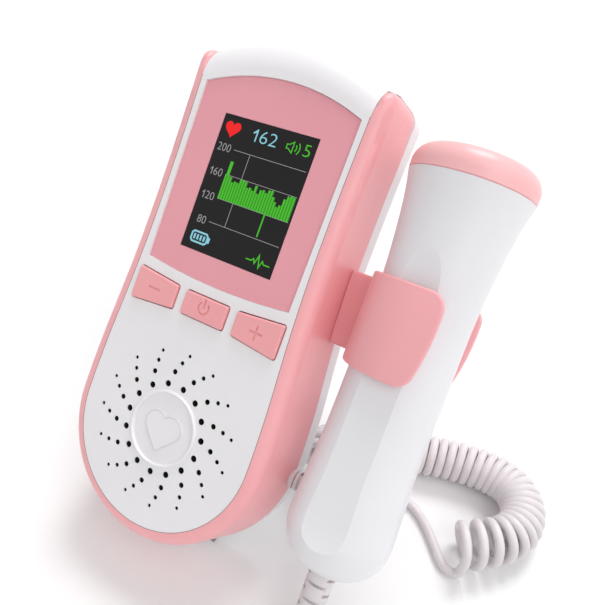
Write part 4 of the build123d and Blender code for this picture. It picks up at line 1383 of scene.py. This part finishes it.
@dataclass(frozen=True)
class RoundedEdges(SoftCopy):
    """A node with every sharp edge rounded to a radius in millimetres."""

    radius: float = 0.7
    sharp: float = math.radians(38)
    flat: float = math.radians(1.5)

    def shape(self, work: bmesh.types.BMesh) -> None:
        """Joins the flat facets and rounds the edges between the faces that are left.

        Args:
            work: The merged mesh.
        """
        bmesh.ops.dissolve_limit(work, angle_limit=self.flat, verts=work.verts,
                                 edges=work.edges)
        edges = [edge for edge in work.edges
                 if len(edge.link_faces) == 2 and edge.calc_face_angle() > self.sharp]
        bmesh.ops.bevel(work, geom=edges, offset=self.radius * MM, segments=3, profile=0.5,
                        affect="EDGES", clamp_overlap=False)


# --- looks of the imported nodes
@dataclass(frozen=True)
class Wardrobe:
    """The finishes by name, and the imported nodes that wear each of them."""

    finishes: Mapping[str, object]
    nodes: Mapping[str, str]

    def made(self) -> dict[str, bpy.types.Material]:
        """Builds every finish once."""
        return {name: finish.build() for name, finish in self.finishes.items()}

    def dress(self, frame: Mapping[str, object], made: Mapping[str, bpy.types.Material]) -> None:
        """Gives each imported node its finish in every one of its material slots.

        Args:
            frame: The loaded model.
            made: The built finishes by name.
        """
        worn = {node: name for name, nodes in self.nodes.items() for node in nodes.split()}
        for name, node in frame["nodes"].items():
            finish = made[worn[name]]
            for slot in node.material_slots:
                slot.material = finish
            if not node.material_slots:
                node.data.materials.append(finish)
            log.info("%s wears %s", name, finish.name)


FINISHES: dict[str, object] = {
    "white": Moulding("white_moulding", srgb(238, 236, 238), srgb(233, 231, 233), rough=0.34),
    "probe_white": Moulding("probe_moulding", srgb(236, 235, 238), srgb(231, 230, 234), 0.34),
    "pink": Moulding("pink_moulding", srgb(247, 176, 180), srgb(243, 169, 174), rough=0.34),
    "cap_pink": Moulding("cap_moulding", srgb(251, 190, 192), srgb(247, 183, 186), rough=0.36),
    "panel": Moulding("panel_moulding", srgb(234, 161, 171), srgb(230, 156, 167), rough=0.42,
                      grain=0.3, depth=0.016),
    "keys": Moulding("key_moulding", srgb(243, 168, 171), srgb(239, 162, 166), rough=0.4),
    "cord": SoftRubber("cord_jacket", srgb(224, 218, 220), srgb(219, 213, 215), 0.4),
    # painted shade: the pads get the dark pinkish grey of the shadow they sit in, darker than
    # their own rubber
    "rubber": SoftRubber("pad_rubber_painted_shade", srgb(150, 136, 138), srgb(162, 148, 150), 0.7),
    "socket": SoftRubber("socket_plastic", srgb(34, 34, 36), srgb(48, 48, 50), 0.45),
    "display": DisplayGround(),
    "red": Ink("ink_red", srgb(255, 34, 36), srgb(246, 26, 30)),
    "cyan": Ink("ink_cyan", srgb(150, 218, 232), srgb(136, 206, 222)),
    "green": Ink("ink_green", srgb(78, 200, 44), srgb(66, 186, 34)),
    "deep_green": Ink("ink_deep_green", srgb(44, 130, 26), srgb(38, 118, 22)),
    "grey": Ink("ink_grey", srgb(168, 164, 168), srgb(154, 150, 154)),
    "pale": Ink("ink_pale", srgb(186, 182, 184), srgb(172, 168, 170)),
    "case": Metal("display_case", srgb(178, 180, 184), srgb(140, 142, 148), 0.35, Grain.ACROSS),
    "board": BoardLacquer(),
    "steel": Metal("screw_steel", srgb(196, 198, 202), srgb(150, 150, 154), 0.28, Grain.AROUND),
    "switch": Metal("switch_metal", srgb(188, 190, 194), srgb(120, 122, 128), 0.34),
    "cloth": WovenCloth("grille_cloth", srgb(9, 9, 11), srgb(20, 20, 23)),
    # painted shade: near-black for the sleeves that darken the grille's holes, not a part of the
    # object
    "hole_painted_shade": SoftRubber("grille_hole_painted_shade", srgb(7, 7, 8), srgb(14, 14, 16), 0.9, 0.3, 0.04),
    "seam": SoftRubber("seam_shade", srgb(120, 108, 112), srgb(136, 122, 127), 0.8),
    # painted shade: the grey of the shaded edge round the raised heart
    "shade": SoftRubber("heart_edge_painted_shade", srgb(214, 211, 213), srgb(207, 203, 206), 0.8),
    "basket": Metal("speaker_basket", srgb(150, 152, 156), srgb(104, 106, 110), 0.42),
    "paper": SoftRubber("paper_cone", srgb(58, 52, 50), srgb(88, 80, 76), 0.8, 0.5, 0.05),
    "magnet": Metal("magnet_plating", srgb(128, 130, 134), srgb(80, 82, 88), 0.4),
    "cells": CellSleeve(),
    "contacts": Metal("contact_nickel", srgb(206, 202, 190), srgb(158, 150, 132), 0.26),
    "piezo": Metal("piezo_silver", srgb(210, 206, 198), srgb(168, 160, 150), 0.45),
    "backing": SoftRubber("backing_resin", srgb(70, 58, 52), srgb(92, 80, 74), 0.65, 0.4, 0.05),
}

NODE_FINISHES: dict[str, str] = {
    "white": "front_shell back_shell battery_cover kickstand",
    "probe_white": "probe_body",
    "pink": "side_band probe_clip",
    "cap_pink": "probe_cap",
    "panel": "display_bezel",
    "keys": "button_minus button_power button_plus",
    "display": "screen_glass",
    "case": "lcd_module",
    "board": "main_board probe_board",
    "steel": "board_screws case_screws kickstand_pin clip_screws",
    "switch": "tact_switches",
    "cloth": "grille_cloth",
    "basket": "speaker_frame",
    "paper": "speaker_cone",
    "magnet": "speaker_magnet",
    "cells": "battery_cells",
    "contacts": "battery_contacts",
    "rubber": "kickstand_foot foot_pads",
    "socket": "earphone_socket",
    "cord": "cord_boot probe_strain_relief cord_monitor_side cord_coil cord_probe_side",
    "piezo": "piezo_discs",
    "backing": "acoustic_backing",
}


# --- floor, lights, camera
@dataclass(frozen=True)
class Lamp:
    """A wide soft light far away: where it comes from, how wide it looks and its strength."""

    name: str
    place: tuple[float, float, float]
    width: float
    power: float

    def build(self) -> None:
        """Makes the light, turned towards the object."""
        data = bpy.data.lights.new(self.name, "SUN")
        data.angle = math.radians(self.width)
        data.energy = self.power
        made = Scenery.link(self.name, data)
        made.location = self.place
        made.rotation_mode = "QUATERNION"
        made.rotation_quaternion = Vector(self.place).to_track_quat("Z", "Y")


@dataclass(frozen=True)
class Studio:
    """A plain white floor, soft lights and the camera."""

    stance: Stance
    floor_side: float = 6.0
    floor_lines: int = 41
    rise_from: float = 1.2
    rise: float = 0.35
    floor_color: Color = (0.865, 0.865, 0.865)
    floor_glow: float = 0.04
    sky_level: float = 0.55
    eye: tuple[float, float, float] = (91.442, -72.123, 192.79)
    tilt: tuple[float, float, float] = (48.055, 0.0, 31.341)
    lens: float = 36.785
    lamps: tuple[Lamp, ...] = (
        Lamp("key", (0.0, 0.56, 0.8), 26.0, 1.7),
        Lamp("fill", (0.66, -0.25, 0.7), 50.0, 0.95),
    )

    def floor(self) -> None:
        """The floor: a wide sheet whose grid rises slowly far behind the object.

        Seen straight or in a mirror it glows a little, which makes the lit paper white.
        """
        half = self.floor_side / 2
        steps = np.linspace(-half, half, self.floor_lines)
        across, back = np.meshgrid(steps, steps)
        rise = np.clip(back - self.rise_from, 0, None) ** 2 * self.rise
        surface = Surface("studio_floor")
        surface.patch(np.stack([across, back, rise], axis=-1) / MM)
        made = surface.build(lambda points: points * MM)
        shop = MaterialShop("studio_paper")
        tone = shop.noise(60.0, 2.0)
        warm = (self.floor_color[0] * 0.995, self.floor_color[1] * 0.99, self.floor_color[2])
        glow = shop.mix(shop.seen(), (0.0, 0.0, 0.0), (self.floor_glow,) * 3)
        made.data.materials.append(shop.set(
            Base_Color=shop.mix(tone, self.floor_color, warm), Roughness=0.8,
            Specular_IOR_Level=0.1, Emission_Color=glow, Emission_Strength=1.0))
        made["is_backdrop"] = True

    def sky(self) -> None:
        """White for what the camera and mirrors see, and a paler white as the light."""
        world = bpy.data.worlds.new("studio")
        world.use_nodes = True
        shop = NodeShop(world.node_tree)
        background = shop.tree.nodes["Background"].inputs
        shop.plug(background["Color"], (1.0, 1.0, 1.0))
        shop.plug(background["Strength"], shop.node("ShaderNodeMapRange", {}, {
            "Value": shop.seen(), "To Min": self.sky_level, "To Max": 1.0}))
        bpy.context.scene.world = world

    def camera(self) -> None:
        """The camera, measured from the surface below the ring's centre."""
        data = bpy.data.cameras.new("camera")
        data.lens = self.lens
        data.sensor_width = 36.0
        data.clip_start = 0.01
        data.clip_end = 50.0
        made = Scenery.link("camera", data)
        made.location = self.stance.ground(np.array([self.eye]))[0]
        made.rotation_euler = [math.radians(angle) for angle in self.tilt]
        bpy.context.scene.camera = made

    def build(self) -> None:
        """Makes the whole studio."""
        self.floor()
        self.sky()
        self.camera()
        for lamp in self.lamps:
            lamp.build()
        bpy.context.scene.view_settings.view_transform = "Standard"


def corners() -> list[list[float]]:
    """The shown object's box as plain lists."""
    low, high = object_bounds()
    return [list(low), list(high)]


def main() -> None:
    """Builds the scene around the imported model."""
    logging.basicConfig(level=logging.INFO)
    for spare in list(bpy.data.objects):
        bpy.data.objects.remove(spare)
    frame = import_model()
    stance = Stance()
    log.info("ring centre %s", stance.origin())
    Studio(stance).build()
    wardrobe = Wardrobe(FINISHES, NODE_FINISHES)
    made = wardrobe.made()
    wardrobe.dress(frame, made)
    pieces = [
        CurlyCord().build(stance, made["cord"]),
        *DisplayPicture().build(stance, made),
        FaceSeam("face_seam", 0.01, 0.13).build(stance, made["seam"]),
        # painted shade along the raised heart's edge
        HeartLine("heart_line", 0.46, 0.2).build(stance, made["shade"]),
        # painted shade: dark sleeves in the grille's holes
        GrilleShadeSleeves().build(stance, made["hole_painted_shade"]),
        RoundedTips("side_band", "side_band_soft", "pink_shell", "monitor").build(made["pink"]),
        RoundedEdges("probe_clip", "probe_clip_soft", "pink_shell", "monitor").build(made["pink"]),
    ]
    for piece in pieces:
        log.info("%s: %d faces", piece.name, len(piece.data.polygons))


if __name__ == "__main__":
    main()
